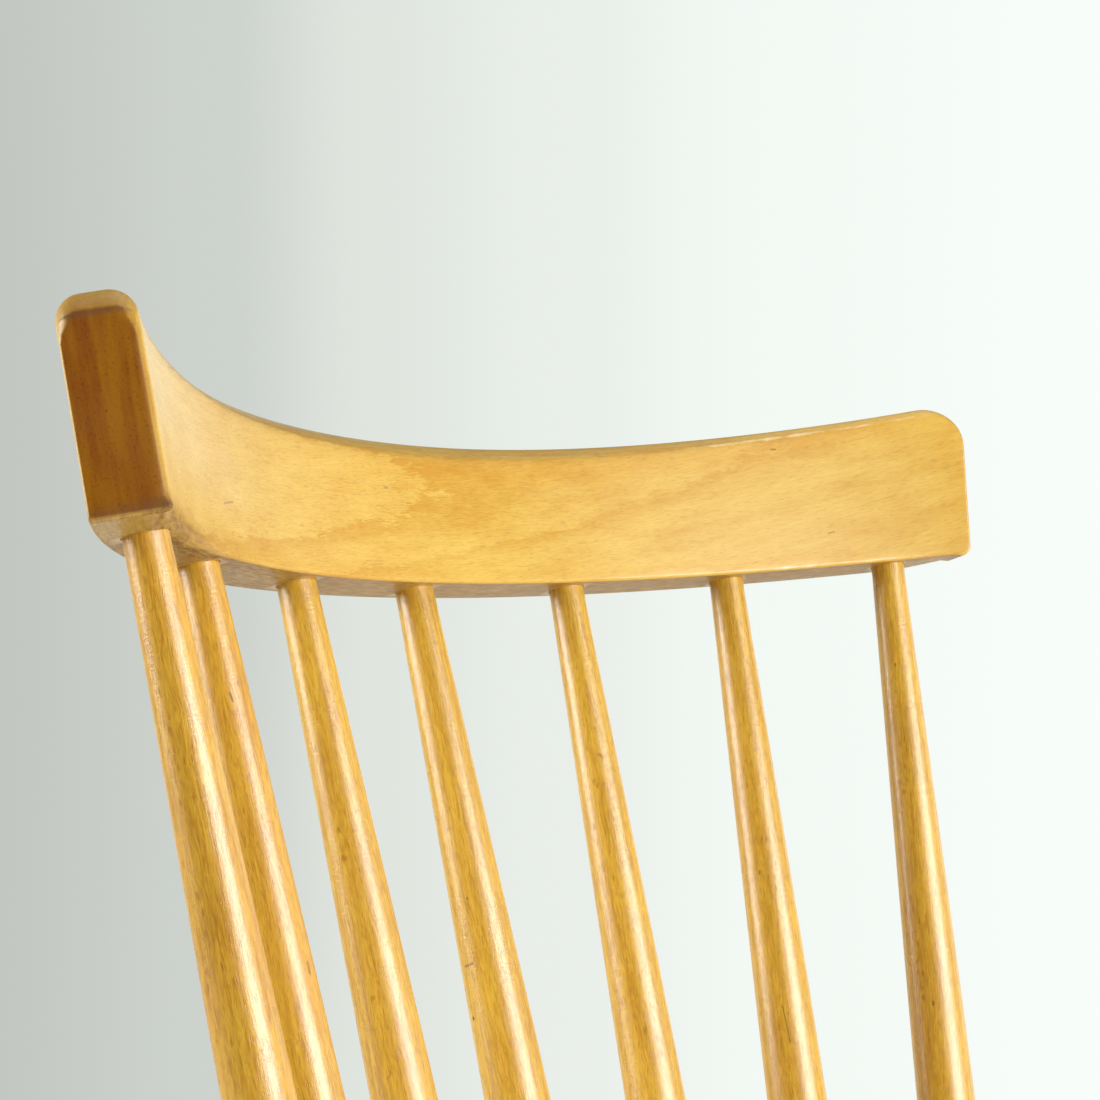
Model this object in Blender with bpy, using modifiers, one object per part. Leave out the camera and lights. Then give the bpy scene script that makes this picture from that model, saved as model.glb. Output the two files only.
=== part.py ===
"""A spindle-back side chair in clear-lacquered beech, modelled piece by piece.

The crest rail is sawn flat, rounded, bent to an arc and bored from below for turned spindles. The spindles
stand in a solid saddled seat. Four splayed legs pass through the seat, are spread there by wedges and are
carved flush with the saddle. An H of turned stretchers ties the legs, and nailed glides carry them.

Frame: metres, +Z up. The sitter faces -Y. The origin is on the floor under the middle of the chair's box.
"""
import math

import bmesh
import bpy
from mathutils import Matrix, Vector

# Fits and facets
CLEARANCE = 0.0003
TURNED_STEPS = 18
BORE_STEPS = 20
SLIM_TURNED_STEPS = 16
SMALL_TURNED_STEPS = 14
SADDLE_STEPS = 40
MERGE_DISTANCE = 0.00001
SLIVER = 0.0003
TENON_CHAMFER = 0.0012
CUTTER_OVERRUN = 0.012
TRIM_BLOCK = 0.060

# Seat
SEAT_HEIGHT = 0.445
SEAT_THICKNESS = 0.038
SEAT_DEPTH = 0.410
SEAT_FRONT_WIDTH = 0.440
SEAT_BACK_MARGIN = 0.0404
SEAT_FRONT_SQUARENESS = 4.5
SEAT_BACK_SQUARENESS = 2.8
SEAT_EDGE_ROUND = 0.008
SEAT_UNDER_ROUND = 0.016
SEAT_OUTLINE_POINTS = 64
SADDLE_WIDTH = 0.345
SADDLE_LENGTH = 0.300
SADDLE_DEPTH = 0.009
SADDLE_FORWARD = 0.022
SADDLE_RIM_ANGLE = math.radians(60)

# Back: the spindles' row on the seat and on the crest rail
BACK_LEAN = math.radians(14.8)
SPINDLE_LENGTH = 0.360
SPINDLE_ROW_INSET = 0.035
SEAT_ROW_RADIUS = 0.277
SEAT_ROW_STEP = math.radians(11.1)
CREST_ROW_STEP = math.radians(13.7)
# How far each hole, counted from the left, was bored to the right of its even place
CREST_BORE_DRIFT = (0.0009, -0.0011, -0.0008, -0.0042, 0.0005, 0.0030, -0.0008)
SEAT_BORE_DRIFT = (0.0020, -0.0017, -0.0006, 0.0005, 0.0026, -0.0004, 0.0002)

# Spindles
SPINDLE_CREST_DIAMETER = 0.0125
SPINDLE_BELLY_DIAMETER = 0.0222
SPINDLE_SEAT_DIAMETER = 0.0150
SPINDLE_BELLY_HEIGHT = 0.105
SPINDLE_TAPER_POWER = 5
SPINDLE_CREST_TENON = 0.028
SPINDLE_SEAT_TENON = 0.025
SPINDLE_COLLAR = 0.004
SPINDLE_UPPER_RINGS = 8
SPINDLE_LOWER_RINGS = 5

# Crest rail
CREST_FRONT_RADIUS = 0.280
CREST_END_OVERHANG = 0.035
CREST_THICKNESS = 0.021
CREST_MIDDLE_HEIGHT = 0.050
CREST_END_DROP = 0.0096
CREST_END_RISE = 0.0005
CREST_LEFT_CORNER = 0.012
CREST_RIGHT_CORNER = 0.017
CREST_LOW_CORNER = 0.0045
CREST_TOP_ROUND = 0.006
CREST_EDGE_ROUND = 0.0018
CREST_COLUMNS = 36
CORNER_STEPS = 5

# Legs: how far in from the seat's edges they cross its top, and how far out from there they stand
FRONT_LEG_INSET = 0.085
FRONT_LEG_SIDE_INSET = 0.070
FRONT_LEG_RAKE = 0.068
FRONT_LEG_SPLAY = 0.043
BACK_LEG_INSET = 0.127
BACK_LEG_SIDE_INSET = 0.0845
BACK_LEG_RAKE = 0.108
BACK_LEG_SPLAY = 0.060
LEG_FOOT_DIAMETER = 0.022
LEG_SWELL_DIAMETER = 0.036
LEG_NECK_LENGTH = 0.130
LEG_TAPER_POWER = 1.6
LEG_TENON_DIAMETER = 0.026
LEG_COLLAR = 0.008
LEG_UPPER_RINGS = 4
LEG_LOWER_RINGS = 6

# Wedges in the leg tenons
WEDGE_DEPTH = 0.025
WEDGE_TOP_THICKNESS = 0.0032
WEDGE_TIP_THICKNESS = 0.0012

# Stretchers
STRETCHER_HEIGHT = 0.170
STRETCHER_TENON_DIAMETER = 0.0145
STRETCHER_BELLY_DIAMETER = 0.0245
STRETCHER_TENON_REACH = 0.004
STRETCHER_COLLAR = 0.005
STRETCHER_RINGS = 10
CROSS_STRETCHER_SHARE = 0.5

# Floor glides
GLIDE_DIAMETER = 0.019
GLIDE_THICKNESS = 0.0045
GLIDE_EDGE_ROUND = 0.0018
GLIDE_NAIL_DIAMETER = 0.003
GLIDE_NAIL_LENGTH = 0.012

# Looks
BEECH = (0.80, 0.52, 0.19, 1.0)
DARK_BEECH = (0.45, 0.25, 0.09, 1.0)
GLIDE_PLASTIC = (0.12, 0.08, 0.05, 1.0)

SHARP_ANGLE = math.radians(40)
UP = Vector((0.0, 0.0, 1.0))
SIDES = (("left", -1), ("right", 1))


def clear_scene():
    """Removes every object of the scene."""
    for item in list(bpy.data.objects):
        bpy.data.objects.remove(item, do_unlink=True)


def new_collection(name):
    """Adds a collection to the scene."""
    group = bpy.data.collections.new(name)
    bpy.context.scene.collection.children.link(group)
    return group


class Workshop:
    """Holds the collections and the frame that all pieces and cutters hang on."""

    def __init__(self):
        self.pieces = new_collection("side_chair")
        self.cutters = new_collection("cutters")
        self.frame = bpy.data.objects.new("chair_frame", None)
        self.pieces.objects.link(self.frame)

    def piece(self, name, mesh, colour=BEECH, roughness=0.35):
        """Adds a mesh as a named piece of the chair with its own material."""
        item = bpy.data.objects.new(name, mesh)
        item.parent = self.frame
        self.pieces.objects.link(item)
        finish = bpy.data.materials.new(name)
        finish.use_nodes = True
        shader = finish.node_tree.nodes["Principled BSDF"]
        shader.inputs["Base Color"].default_value = colour
        shader.inputs["Roughness"].default_value = roughness
        shader.inputs["Metallic"].default_value = 0.0
        mesh.materials.append(finish)
        return item

    def cutter(self, name, mesh):
        """Adds a mesh as a cutter, which is not part of the chair."""
        item = bpy.data.objects.new(name, mesh)
        item.parent = self.frame
        item.hide_render = True
        item.display_type = "WIRE"
        self.cutters.objects.link(item)
        return item


def evenly(first, last, steps):
    """Evenly spaced values from first to last."""
    return [first + (last - first) * i / steps for i in range(steps + 1)]


def lay_along(item, start, direction):
    """Puts an object's origin at start and turns its +Z along direction."""
    item.location = start
    item.rotation_euler = UP.rotation_difference(direction).to_euler()


def cut(item, cutter):
    """Cuts a cutter out of a piece."""
    step = item.modifiers.new(cutter.name, "BOOLEAN")
    step.operation = "DIFFERENCE"
    step.solver = "EXACT"
    step.object = cutter


def mesh_from(builder, name):
    """Writes a bmesh to a new mesh and frees it."""
    mesh = bpy.data.meshes.new(name)
    builder.to_mesh(mesh)
    builder.free()
    return mesh


def turned(shop, name, profile, start, direction, steps=TURNED_STEPS, **looks):
    """A turned piece: a profile of (radius, height) from top to bottom, spun about its axis."""
    points = [(radius, 0.0, height) for radius, height in profile]
    mesh = bpy.data.meshes.new(name)
    mesh.from_pydata(points, [(i, i + 1) for i in range(len(points) - 1)], [])
    item = shop.piece(name, mesh, **looks)
    lay_along(item, start, direction)
    spin = item.modifiers.new("turn", "SCREW")
    spin.axis = "Z"
    spin.angle = 2 * math.pi
    spin.steps = steps
    spin.render_steps = steps
    spin.use_merge_vertices = True
    spin.merge_threshold = MERGE_DISTANCE
    spin.use_smooth_shade = True
    return item


def chamfered_end(radius, height, inward):
    """A tenon end's profile, from its axis outwards: inward is -1 for a top end and 1 for a bottom end."""
    chamfer = min(TENON_CHAMFER, radius / 2)
    return [(0.0, height), (radius - chamfer, height), (radius, height + inward * chamfer)]


def bore(shop, name, mouth, inward, diameter, depth, overrun=CUTTER_OVERRUN):
    """A round cutter from outside the mouth to a flat end at the given depth."""
    builder = bmesh.new()
    length = depth + overrun
    radius = diameter / 2
    bmesh.ops.create_cone(
        builder, cap_ends=True, segments=BORE_STEPS, radius1=radius, radius2=radius, depth=length
    )
    item = shop.cutter(name, mesh_from(builder, name))
    lay_along(item, mouth + inward * (length / 2 - overrun), inward)
    return item


def mesh_of_curve(curve_object):
    """Makes a mesh of a filled curve, with its caps welded to its sides, and removes the curve."""
    graph = bpy.context.evaluated_depsgraph_get()
    mesh = bpy.data.meshes.new_from_object(curve_object.evaluated_get(graph))
    outline = curve_object.data
    bpy.data.objects.remove(curve_object, do_unlink=True)
    bpy.data.curves.remove(outline)
    builder = bmesh.new()
    builder.from_mesh(mesh)
    bmesh.ops.remove_doubles(builder, verts=builder.verts, dist=MERGE_DISTANCE)
    bmesh.ops.dissolve_limit(
        builder, angle_limit=math.radians(1), verts=builder.verts, edges=builder.edges, delimit={"NORMAL"}
    )
    builder.to_mesh(mesh)
    builder.free()
    return mesh


def board(name, outline, thickness):
    """A flat board: a closed outline in X and Y, thick in Z about its middle."""
    curve = bpy.data.curves.new(name, "CURVE")
    curve.dimensions = "2D"
    curve.fill_mode = "BOTH"
    curve.extrude = thickness / 2
    spline = curve.splines.new("POLY")
    spline.points.add(len(outline) - 1)
    for point, (x, y) in zip(spline.points, outline):
        point.co = (x, y, 0.0, 1.0)
    spline.use_cyclic_u = True
    item = bpy.data.objects.new(name, curve)
    bpy.context.scene.collection.objects.link(item)
    return mesh_of_curve(item)


def rounded_edges(item, mesh, widest, width_of):
    """Rounds a piece's sharp edges with a Bevel modifier, each by the width that width_of gives it."""
    builder = bmesh.new()
    builder.from_mesh(mesh)
    weight = builder.edges.layers.float.new("bevel_weight_edge")
    for edge in builder.edges:
        if edge.calc_face_angle(0.0) > SHARP_ANGLE:
            edge[weight] = width_of(edge) / widest
    builder.to_mesh(mesh)
    builder.free()
    step = item.modifiers.new("rounded edges", "BEVEL")
    step.width = widest
    step.segments = 3
    step.limit_method = "WEIGHT"


# The rows of holes that carry the spindles


def spindle_places():
    """The spindles' places in their row, counted from the middle one."""
    middle = (len(CREST_BORE_DRIFT) - 1) / 2
    return [i - middle for i in range(len(CREST_BORE_DRIFT))]


def seat_row(place):
    """The even place of a spindle's hole on the seat's top."""
    turn = place * SEAT_ROW_STEP
    back = SEAT_DEPTH / 2 - SPINDLE_ROW_INSET
    forward = SEAT_ROW_RADIUS * (1 - math.cos(turn))
    return Vector((SEAT_ROW_RADIUS * math.sin(turn), back - forward, SEAT_HEIGHT))


# Seat


def signed_power(value, power):
    """A power that keeps the sign of its base."""
    return math.copysign(abs(value) ** power, value)


def seat_back_width():
    """The width that the seat narrows to, which leaves wood beside the outer spindles."""
    return 2 * (seat_row(spindle_places()[-1]).x + SEAT_BACK_MARGIN)


def seat_outline():
    """The seat from above: a rounded shield, squarer in front and wider in front than behind."""
    mean_width = (SEAT_FRONT_WIDTH + seat_back_width()) / 2
    points = []
    for i in range(SEAT_OUTLINE_POINTS):
        turn = 2 * math.pi * (i + 0.5) / SEAT_OUTLINE_POINTS
        squareness = SEAT_BACK_SQUARENESS if math.sin(turn) > 0 else SEAT_FRONT_SQUARENESS
        along = signed_power(math.sin(turn), 2 / squareness)
        width = mean_width + (mean_width - SEAT_FRONT_WIDTH) * along
        points.append((signed_power(math.cos(turn), 2 / squareness) * width / 2, along * SEAT_DEPTH / 2))
    return points


def saddle_cutter(shop):
    """A flat ellipsoid whose lower cap hollows the seat."""
    half_height = SADDLE_DEPTH / (1 - math.cos(SADDLE_RIM_ANGLE))
    reach = 1 / math.sin(SADDLE_RIM_ANGLE)
    builder = bmesh.new()
    bmesh.ops.create_uvsphere(builder, u_segments=SADDLE_STEPS, v_segments=SADDLE_STEPS // 2, radius=1.0)
    size = (SADDLE_WIDTH / 2 * reach, SADDLE_LENGTH / 2 * reach, half_height)
    bmesh.ops.scale(builder, vec=size, verts=builder.verts)
    item = shop.cutter("saddle_cutter", mesh_from(builder, "saddle_cutter"))
    item.location = (0.0, -SADDLE_FORWARD, SEAT_HEIGHT + half_height * math.cos(SADDLE_RIM_ANGLE))
    return item


def seat_top_cutter(shop):
    """A block on the seat's top plane, which trims what comes up through the seat."""
    builder = bmesh.new()
    bmesh.ops.create_cube(builder, size=1.0)
    width = max(SEAT_FRONT_WIDTH, seat_back_width())
    bmesh.ops.scale(builder, vec=(width, SEAT_DEPTH, TRIM_BLOCK), verts=builder.verts)
    item = shop.cutter("seat_top_cutter", mesh_from(builder, "seat_top_cutter"))
    item.location = (0.0, 0.0, SEAT_HEIGHT + TRIM_BLOCK / 2)
    return item


def seat_edge_width(edge):
    """How far a seat edge is rounded: its lower edges more than its upper ones."""
    return SEAT_EDGE_ROUND if edge.verts[0].co.z > 0 else SEAT_UNDER_ROUND


def make_seat(shop, saddle, spindles, legs):
    """The seat: a rounded board, hollowed for the sitter and bored for spindles and legs."""
    mesh = board("seat", seat_outline(), SEAT_THICKNESS)
    mesh.shade_smooth()
    mesh.set_sharp_from_angle(angle=SHARP_ANGLE)
    item = shop.piece("seat", mesh)
    item.location = (0.0, 0.0, SEAT_HEIGHT - SEAT_THICKNESS / 2)
    rounded_edges(item, mesh, max(SEAT_EDGE_ROUND, SEAT_UNDER_ROUND), seat_edge_width)
    cut(item, saddle)
    for spindle in spindles:
        cut(item, spindle.seat_mortise(shop))
    for leg in legs:
        cut(item, leg.seat_mortise(shop))


# Crest rail


def crest_middle_radius():
    """The radius of the bent rail, at the middle of its thickness."""
    return CREST_FRONT_RADIUS + CREST_THICKNESS / 2


def crest_half_angle():
    """Half the angle that the rail is bent through, out to its ends beyond the outer spindles."""
    return spindle_places()[-1] * CREST_ROW_STEP + CREST_END_OVERHANG / crest_middle_radius()


def crest_low_edge(share):
    """The rail's lower edge at a share of its half length."""
    return -CREST_END_DROP * share * share


def crest_high_edge(share):
    """The rail's upper edge at a share of its half length."""
    return CREST_MIDDLE_HEIGHT + CREST_END_RISE * share * share


def crest_outline():
    """The rail as it is sawn from a flat board: X along its length, Y up."""
    half = crest_middle_radius() * crest_half_angle()

    def corner(radius, edge, upward):
        """A quarter round from an edge of the rail to its right-hand end."""
        turns = [math.pi / 2 * i / CORNER_STEPS for i in range(CORNER_STEPS + 1)]
        return [
            (half - radius * (1 - math.sin(turn)), edge(1.0) - upward * radius * (1 - math.cos(turn)))
            for turn in turns
        ]

    def run(edge, left_radius, right_radius, upward):
        """One edge from the left end to the right end, with a quarter round at both ends."""
        left = [(-x, y) for x, y in reversed(corner(left_radius, edge, upward))]
        places = [half * (2 * i / CREST_COLUMNS - 1) for i in range(CREST_COLUMNS + 1)]
        middle = [(x, edge(x / half)) for x in places if left[-1][0] < x < half - right_radius]
        return left + middle + corner(right_radius, edge, upward)

    low = run(crest_low_edge, CREST_LOW_CORNER, CREST_LOW_CORNER, -1)
    high = run(crest_high_edge, CREST_LEFT_CORNER, CREST_RIGHT_CORNER, 1)
    return low + high[::-1]


def crest_edge_width(edge):
    """How far a rail edge is rounded: its upper edges more than all its others."""
    lowest = min(vertex.co.y for vertex in edge.verts)
    corner = min(CREST_LEFT_CORNER, CREST_RIGHT_CORNER)
    return CREST_TOP_ROUND if lowest > CREST_MIDDLE_HEIGHT - corner / 2 else CREST_EDGE_ROUND


def divide_along(mesh, columns, half):
    """Divides a board into columns along X, so that it can bend, and joins corners that almost meet."""
    builder = bmesh.new()
    builder.from_mesh(mesh)
    bmesh.ops.remove_doubles(builder, verts=builder.verts, dist=SLIVER / 4)
    for i in range(1, columns):
        everything = builder.verts[:] + builder.edges[:] + builder.faces[:]
        place = (half * (2 * i / columns - 1), 0.0, 0.0)
        bmesh.ops.bisect_plane(
            builder, geom=everything, dist=SLIVER, plane_co=place, plane_no=(1.0, 0.0, 0.0)
        )
    builder.to_mesh(mesh)
    builder.free()


def back_frame():
    """The leaning frame of the back: origin under the middle of the crest rail, +Z up along the lean."""
    rise = Vector((0.0, math.sin(BACK_LEAN), math.cos(BACK_LEAN))) * SPINDLE_LENGTH
    foot = Vector((0.0, SEAT_DEPTH / 2 - SPINDLE_ROW_INSET, SEAT_HEIGHT))
    return Matrix.Translation(foot + rise) @ Matrix.Rotation(-BACK_LEAN, 4, "X")


def make_crest_rail(shop, spindles):
    """The crest rail: sawn flat, rounded, bent to an arc, leant back and bored for the spindles."""
    half = crest_middle_radius() * crest_half_angle()
    mesh = board("crest_rail", crest_outline(), CREST_THICKNESS)
    flat = bpy.data.objects.new("flat_crest", mesh)
    bpy.context.scene.collection.objects.link(flat)
    rounded_edges(flat, mesh, max(CREST_TOP_ROUND, CREST_EDGE_ROUND), crest_edge_width)
    graph = bpy.context.evaluated_depsgraph_get()
    rounded = bpy.data.meshes.new_from_object(flat.evaluated_get(graph))
    bpy.data.objects.remove(flat, do_unlink=True)
    bpy.data.meshes.remove(mesh)
    rounded.transform(Matrix.Rotation(math.pi / 2, 4, "X"))
    divide_along(rounded, CREST_COLUMNS, half)
    rounded.shade_smooth()
    rounded.set_sharp_from_angle(angle=SHARP_ANGLE)
    rounded.name = "crest_rail"
    item = shop.piece("crest_rail", rounded)
    frame = back_frame()
    item.location = frame.translation
    item.rotation_euler = frame.to_euler()
    bend = item.modifiers.new("bend", "SIMPLE_DEFORM")
    bend.deform_method = "BEND"
    bend.deform_axis = "Z"
    bend.angle = -2 * crest_half_angle()
    for spindle in spindles:
        cut(item, spindle.crest_mortise(shop))


# Spindles


class Spindle:
    """One turned spindle, between its hole in the seat and its hole in the crest rail."""

    def __init__(self, index, place):
        self.name = f"spindle_{index + 1}"
        self.foot = seat_row(place) + Vector((SEAT_BORE_DRIFT[index], 0.0, 0.0))
        turn = place * CREST_ROW_STEP
        radius = crest_middle_radius()
        self.head = back_frame() @ Vector((
            radius * math.sin(turn) + CREST_BORE_DRIFT[index],
            -radius * (1 - math.cos(turn)),
            crest_low_edge(turn / crest_half_angle()),
        ))
        self.length = (self.head - self.foot).length
        self.axis = (self.head - self.foot).normalized()

    def diameter(self, height):
        """The diameter at a height above the seat, along the spindle."""
        belly = SPINDLE_BELLY_HEIGHT
        if height >= belly:
            upper = self.length - SPINDLE_COLLAR
            share = (upper - height) / (upper - belly)
            power = SPINDLE_TAPER_POWER
            swell = (power * share - share ** power) / (power - 1)
            return SPINDLE_CREST_DIAMETER + (SPINDLE_BELLY_DIAMETER - SPINDLE_CREST_DIAMETER) * swell
        share = (belly - height) / (belly - SPINDLE_COLLAR)
        return SPINDLE_BELLY_DIAMETER - (SPINDLE_BELLY_DIAMETER - SPINDLE_SEAT_DIAMETER) * share * share

    def make(self, shop):
        """Turns the spindle, with a plain tenon at both ends."""
        belly = SPINDLE_BELLY_HEIGHT
        upper = self.length - SPINDLE_COLLAR
        heights = evenly(upper, belly, SPINDLE_UPPER_RINGS)
        heights += evenly(belly, SPINDLE_COLLAR, SPINDLE_LOWER_RINGS)[1:]
        body = [(self.diameter(height) / 2, height) for height in heights]
        top = chamfered_end(SPINDLE_CREST_DIAMETER / 2, self.length + SPINDLE_CREST_TENON, -1)
        bottom = chamfered_end(SPINDLE_SEAT_DIAMETER / 2, -SPINDLE_SEAT_TENON, 1)
        turned(shop, self.name, top + body + bottom[::-1], self.foot, self.axis)

    def seat_mortise(self, shop):
        """The cutter for the spindle's hole in the seat."""
        diameter = SPINDLE_SEAT_DIAMETER + 2 * CLEARANCE
        depth = SPINDLE_SEAT_TENON + CLEARANCE
        return bore(shop, f"{self.name}_seat_mortise", self.foot, -self.axis, diameter, depth)

    def crest_mortise(self, shop):
        """The cutter for the spindle's hole in the crest rail."""
        diameter = SPINDLE_CREST_DIAMETER + 2 * CLEARANCE
        depth = SPINDLE_CREST_TENON + CLEARANCE
        return bore(shop, f"{self.name}_crest_mortise", self.head, self.axis, diameter, depth)


# Legs, their wedges and their glides


class Leg:
    """One splayed leg, from the floor to the seat's top."""

    def __init__(self, end, side, sign):
        self.corner = f"{end}_{side}"
        if end == "front":
            top_y = -SEAT_DEPTH / 2 + FRONT_LEG_INSET
            top_x = SEAT_FRONT_WIDTH / 2 - FRONT_LEG_SIDE_INSET
            top = (sign * top_x, top_y, SEAT_HEIGHT)
            floor = (sign * (top_x + FRONT_LEG_SPLAY), top_y - FRONT_LEG_RAKE, 0.0)
        else:
            top_y = SEAT_DEPTH / 2 - BACK_LEG_INSET
            top_x = seat_back_width() / 2 - BACK_LEG_SIDE_INSET
            top = (sign * top_x, top_y, SEAT_HEIGHT)
            floor = (sign * (top_x + BACK_LEG_SPLAY), top_y + BACK_LEG_RAKE, 0.0)
        self.top = Vector(top)
        self.floor = Vector(floor)
        self.length = (self.top - self.floor).length
        self.axis = (self.top - self.floor).normalized()

    def at_height(self, height):
        """The point of the leg's axis at a height above the floor."""
        return self.floor + self.axis * (height / self.axis.z)

    def tenon_start(self):
        """How far up the leg, along its axis, the plain tenon starts below the seat."""
        return self.length - SEAT_THICKNESS / self.axis.z - LEG_COLLAR

    def diameter(self, along):
        """The diameter at a distance along the axis from the floor."""
        swell = self.tenon_start() - LEG_NECK_LENGTH
        if along <= swell:
            taper = ((swell - along) / swell) ** LEG_TAPER_POWER
            return LEG_SWELL_DIAMETER - (LEG_SWELL_DIAMETER - LEG_FOOT_DIAMETER) * taper
        share = min(1.0, (along - swell) / LEG_NECK_LENGTH)
        return LEG_SWELL_DIAMETER - (LEG_SWELL_DIAMETER - LEG_TENON_DIAMETER) * share * share

    def make(self, shop, top_cutters, floor_cutter):
        """Turns the leg, trims it at the seat and the floor, and cuts its kerf and its nail hole."""
        neck = self.tenon_start()
        below_floor = LEG_FOOT_DIAMETER / 2
        top = self.length + CUTTER_OVERRUN
        swell = neck - LEG_NECK_LENGTH
        heights = evenly(neck, swell, LEG_UPPER_RINGS) + evenly(swell, 0.0, LEG_LOWER_RINGS)[1:]
        body = [(self.diameter(height) / 2, height) for height in heights]
        profile = [(0.0, top), (LEG_TENON_DIAMETER / 2, top)] + body
        profile += [(LEG_FOOT_DIAMETER / 2, -below_floor), (0.0, -below_floor)]
        item = turned(shop, f"leg_{self.corner}", profile, self.floor, self.axis)
        for cutter in top_cutters:
            cut(item, cutter)
        cut(item, floor_cutter)
        cut(item, self.kerf(shop))
        depth = GLIDE_NAIL_LENGTH + 2 * CLEARANCE
        diameter = GLIDE_NAIL_DIAMETER + 2 * CLEARANCE
        mouth = self.at_height(GLIDE_THICKNESS)
        cut(item, bore(shop, f"nail_hole_{self.corner}", mouth, UP, diameter, depth))
        return item

    def seat_mortise(self, shop):
        """The cutter for the leg's hole through the seat."""
        depth = SEAT_THICKNESS / self.axis.z + LEG_COLLAR
        diameter = LEG_TENON_DIAMETER + 2 * CLEARANCE
        return bore(
            shop, f"leg_mortise_{self.corner}", self.top, -self.axis, diameter, depth, LEG_TENON_DIAMETER
        )

    def wedge_prism(self, width, grow, rise):
        """A tapered block in the tenon's top, grown all round by a gap, that stands up above the seat."""
        builder = bmesh.new()
        bmesh.ops.create_cube(builder, size=1.0)
        slope = (WEDGE_TOP_THICKNESS - WEDGE_TIP_THICKNESS) / WEDGE_DEPTH
        for vertex in builder.verts:
            along = rise if vertex.co.z > 0 else -WEDGE_DEPTH - grow
            thickness = WEDGE_TOP_THICKNESS + slope * along + 2 * grow
            vertex.co = (vertex.co.x * width, vertex.co.y * thickness, along)
        return builder

    def kerf(self, shop):
        """The cutter for the saw kerf that takes the wedge."""
        name = f"kerf_{self.corner}"
        builder = self.wedge_prism(LEG_TENON_DIAMETER + 2 * CUTTER_OVERRUN, CLEARANCE, 2 * CUTTER_OVERRUN)
        item = shop.cutter(name, mesh_from(builder, name))
        lay_along(item, self.top, self.axis)
        return item

    def make_wedge(self, shop, top_cutters):
        """The wedge, trimmed flush with the seat."""
        name = f"wedge_{self.corner}"
        builder = self.wedge_prism(LEG_TENON_DIAMETER - 2 * CLEARANCE, 0.0, CUTTER_OVERRUN)
        item = shop.piece(name, mesh_from(builder, name), colour=DARK_BEECH)
        lay_along(item, self.top, self.axis)
        for cutter in top_cutters:
            cut(item, cutter)

    def make_glide(self, shop):
        """The glide under the foot: a rounded disc with a nail up into the leg."""
        nail = GLIDE_NAIL_DIAMETER / 2
        disc = GLIDE_DIAMETER / 2
        tip = GLIDE_THICKNESS + GLIDE_NAIL_LENGTH
        rim = [
            (disc - GLIDE_EDGE_ROUND * (1 - math.cos(turn)), GLIDE_EDGE_ROUND * (1 - math.sin(turn)))
            for turn in evenly(0.0, math.pi / 2, 3)
        ]
        profile = [(0.0, tip), (nail, tip - nail), (nail, GLIDE_THICKNESS), (disc, GLIDE_THICKNESS)]
        profile += rim + [(0.0, 0.0)]
        place = self.at_height(GLIDE_THICKNESS)
        start = Vector((place.x, place.y, 0.0))
        looks = {"colour": GLIDE_PLASTIC, "roughness": 0.5}
        turned(shop, f"glide_{self.corner}", profile, start, UP, steps=SMALL_TURNED_STEPS, **looks)


def floor_cutter(shop, legs):
    """A block under the plane on which the legs stand on their glides."""
    spread = 2 * max(leg.floor.x for leg in legs) + TRIM_BLOCK
    reach = 2 * max(abs(leg.floor.y) for leg in legs) + TRIM_BLOCK
    builder = bmesh.new()
    bmesh.ops.create_cube(builder, size=1.0)
    bmesh.ops.scale(builder, vec=(spread, reach, TRIM_BLOCK), verts=builder.verts)
    item = shop.cutter("floor_cutter", mesh_from(builder, "floor_cutter"))
    item.location = (0.0, 0.0, GLIDE_THICKNESS + CLEARANCE - TRIM_BLOCK / 2)
    return item


# Stretchers


class Stretcher:
    """One turned stretcher between two round pieces, tenoned a little past their axes."""

    def __init__(self, name, start, end, carrier_radius):
        self.name = name
        self.axis = (end - start).normalized()
        self.start = start - self.axis * STRETCHER_TENON_REACH
        self.end = end + self.axis * STRETCHER_TENON_REACH
        self.length = (self.end - self.start).length
        self.shoulder = STRETCHER_TENON_REACH + carrier_radius + STRETCHER_COLLAR

    def radius(self, along):
        """The radius at a distance from the stretcher's start."""
        half = self.length / 2
        share = min(1.0, abs(along - half) / (half - self.shoulder))
        swell = (STRETCHER_BELLY_DIAMETER - STRETCHER_TENON_DIAMETER) / 2
        return STRETCHER_BELLY_DIAMETER / 2 - swell * share * share

    def make(self, shop):
        """Turns the stretcher, with a plain tenon at both ends."""
        heights = evenly(self.length - self.shoulder, self.shoulder, STRETCHER_RINGS)
        body = [(self.radius(height), height) for height in heights]
        top = chamfered_end(STRETCHER_TENON_DIAMETER / 2, self.length, -1)
        bottom = chamfered_end(STRETCHER_TENON_DIAMETER / 2, 0.0, 1)
        profile = top + body + bottom[::-1]
        return turned(shop, self.name, profile, self.start, self.axis, steps=SLIM_TURNED_STEPS)

    def mortises(self, shop):
        """The cutters for its two holes, at its start and at its end."""
        depth = self.shoulder + CLEARANCE
        diameter = STRETCHER_TENON_DIAMETER + 2 * CLEARANCE
        first = self.start + self.axis * self.shoulder
        last = self.end - self.axis * self.shoulder
        return (
            bore(shop, f"{self.name}_start_mortise", first, -self.axis, diameter, depth),
            bore(shop, f"{self.name}_end_mortise", last, self.axis, diameter, depth),
        )


def centre_on_floor(shop):
    """Moves the chair so that the middle of its box, front to back, stands over the origin."""
    graph = bpy.context.evaluated_depsgraph_get()
    depths = []
    for item in shop.pieces.objects:
        if item.type == "MESH":
            solid = item.evaluated_get(graph)
            depths += [(solid.matrix_world @ vertex.co).y for vertex in solid.data.vertices]
    shop.frame.location.y = -(min(depths) + max(depths)) / 2


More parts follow.
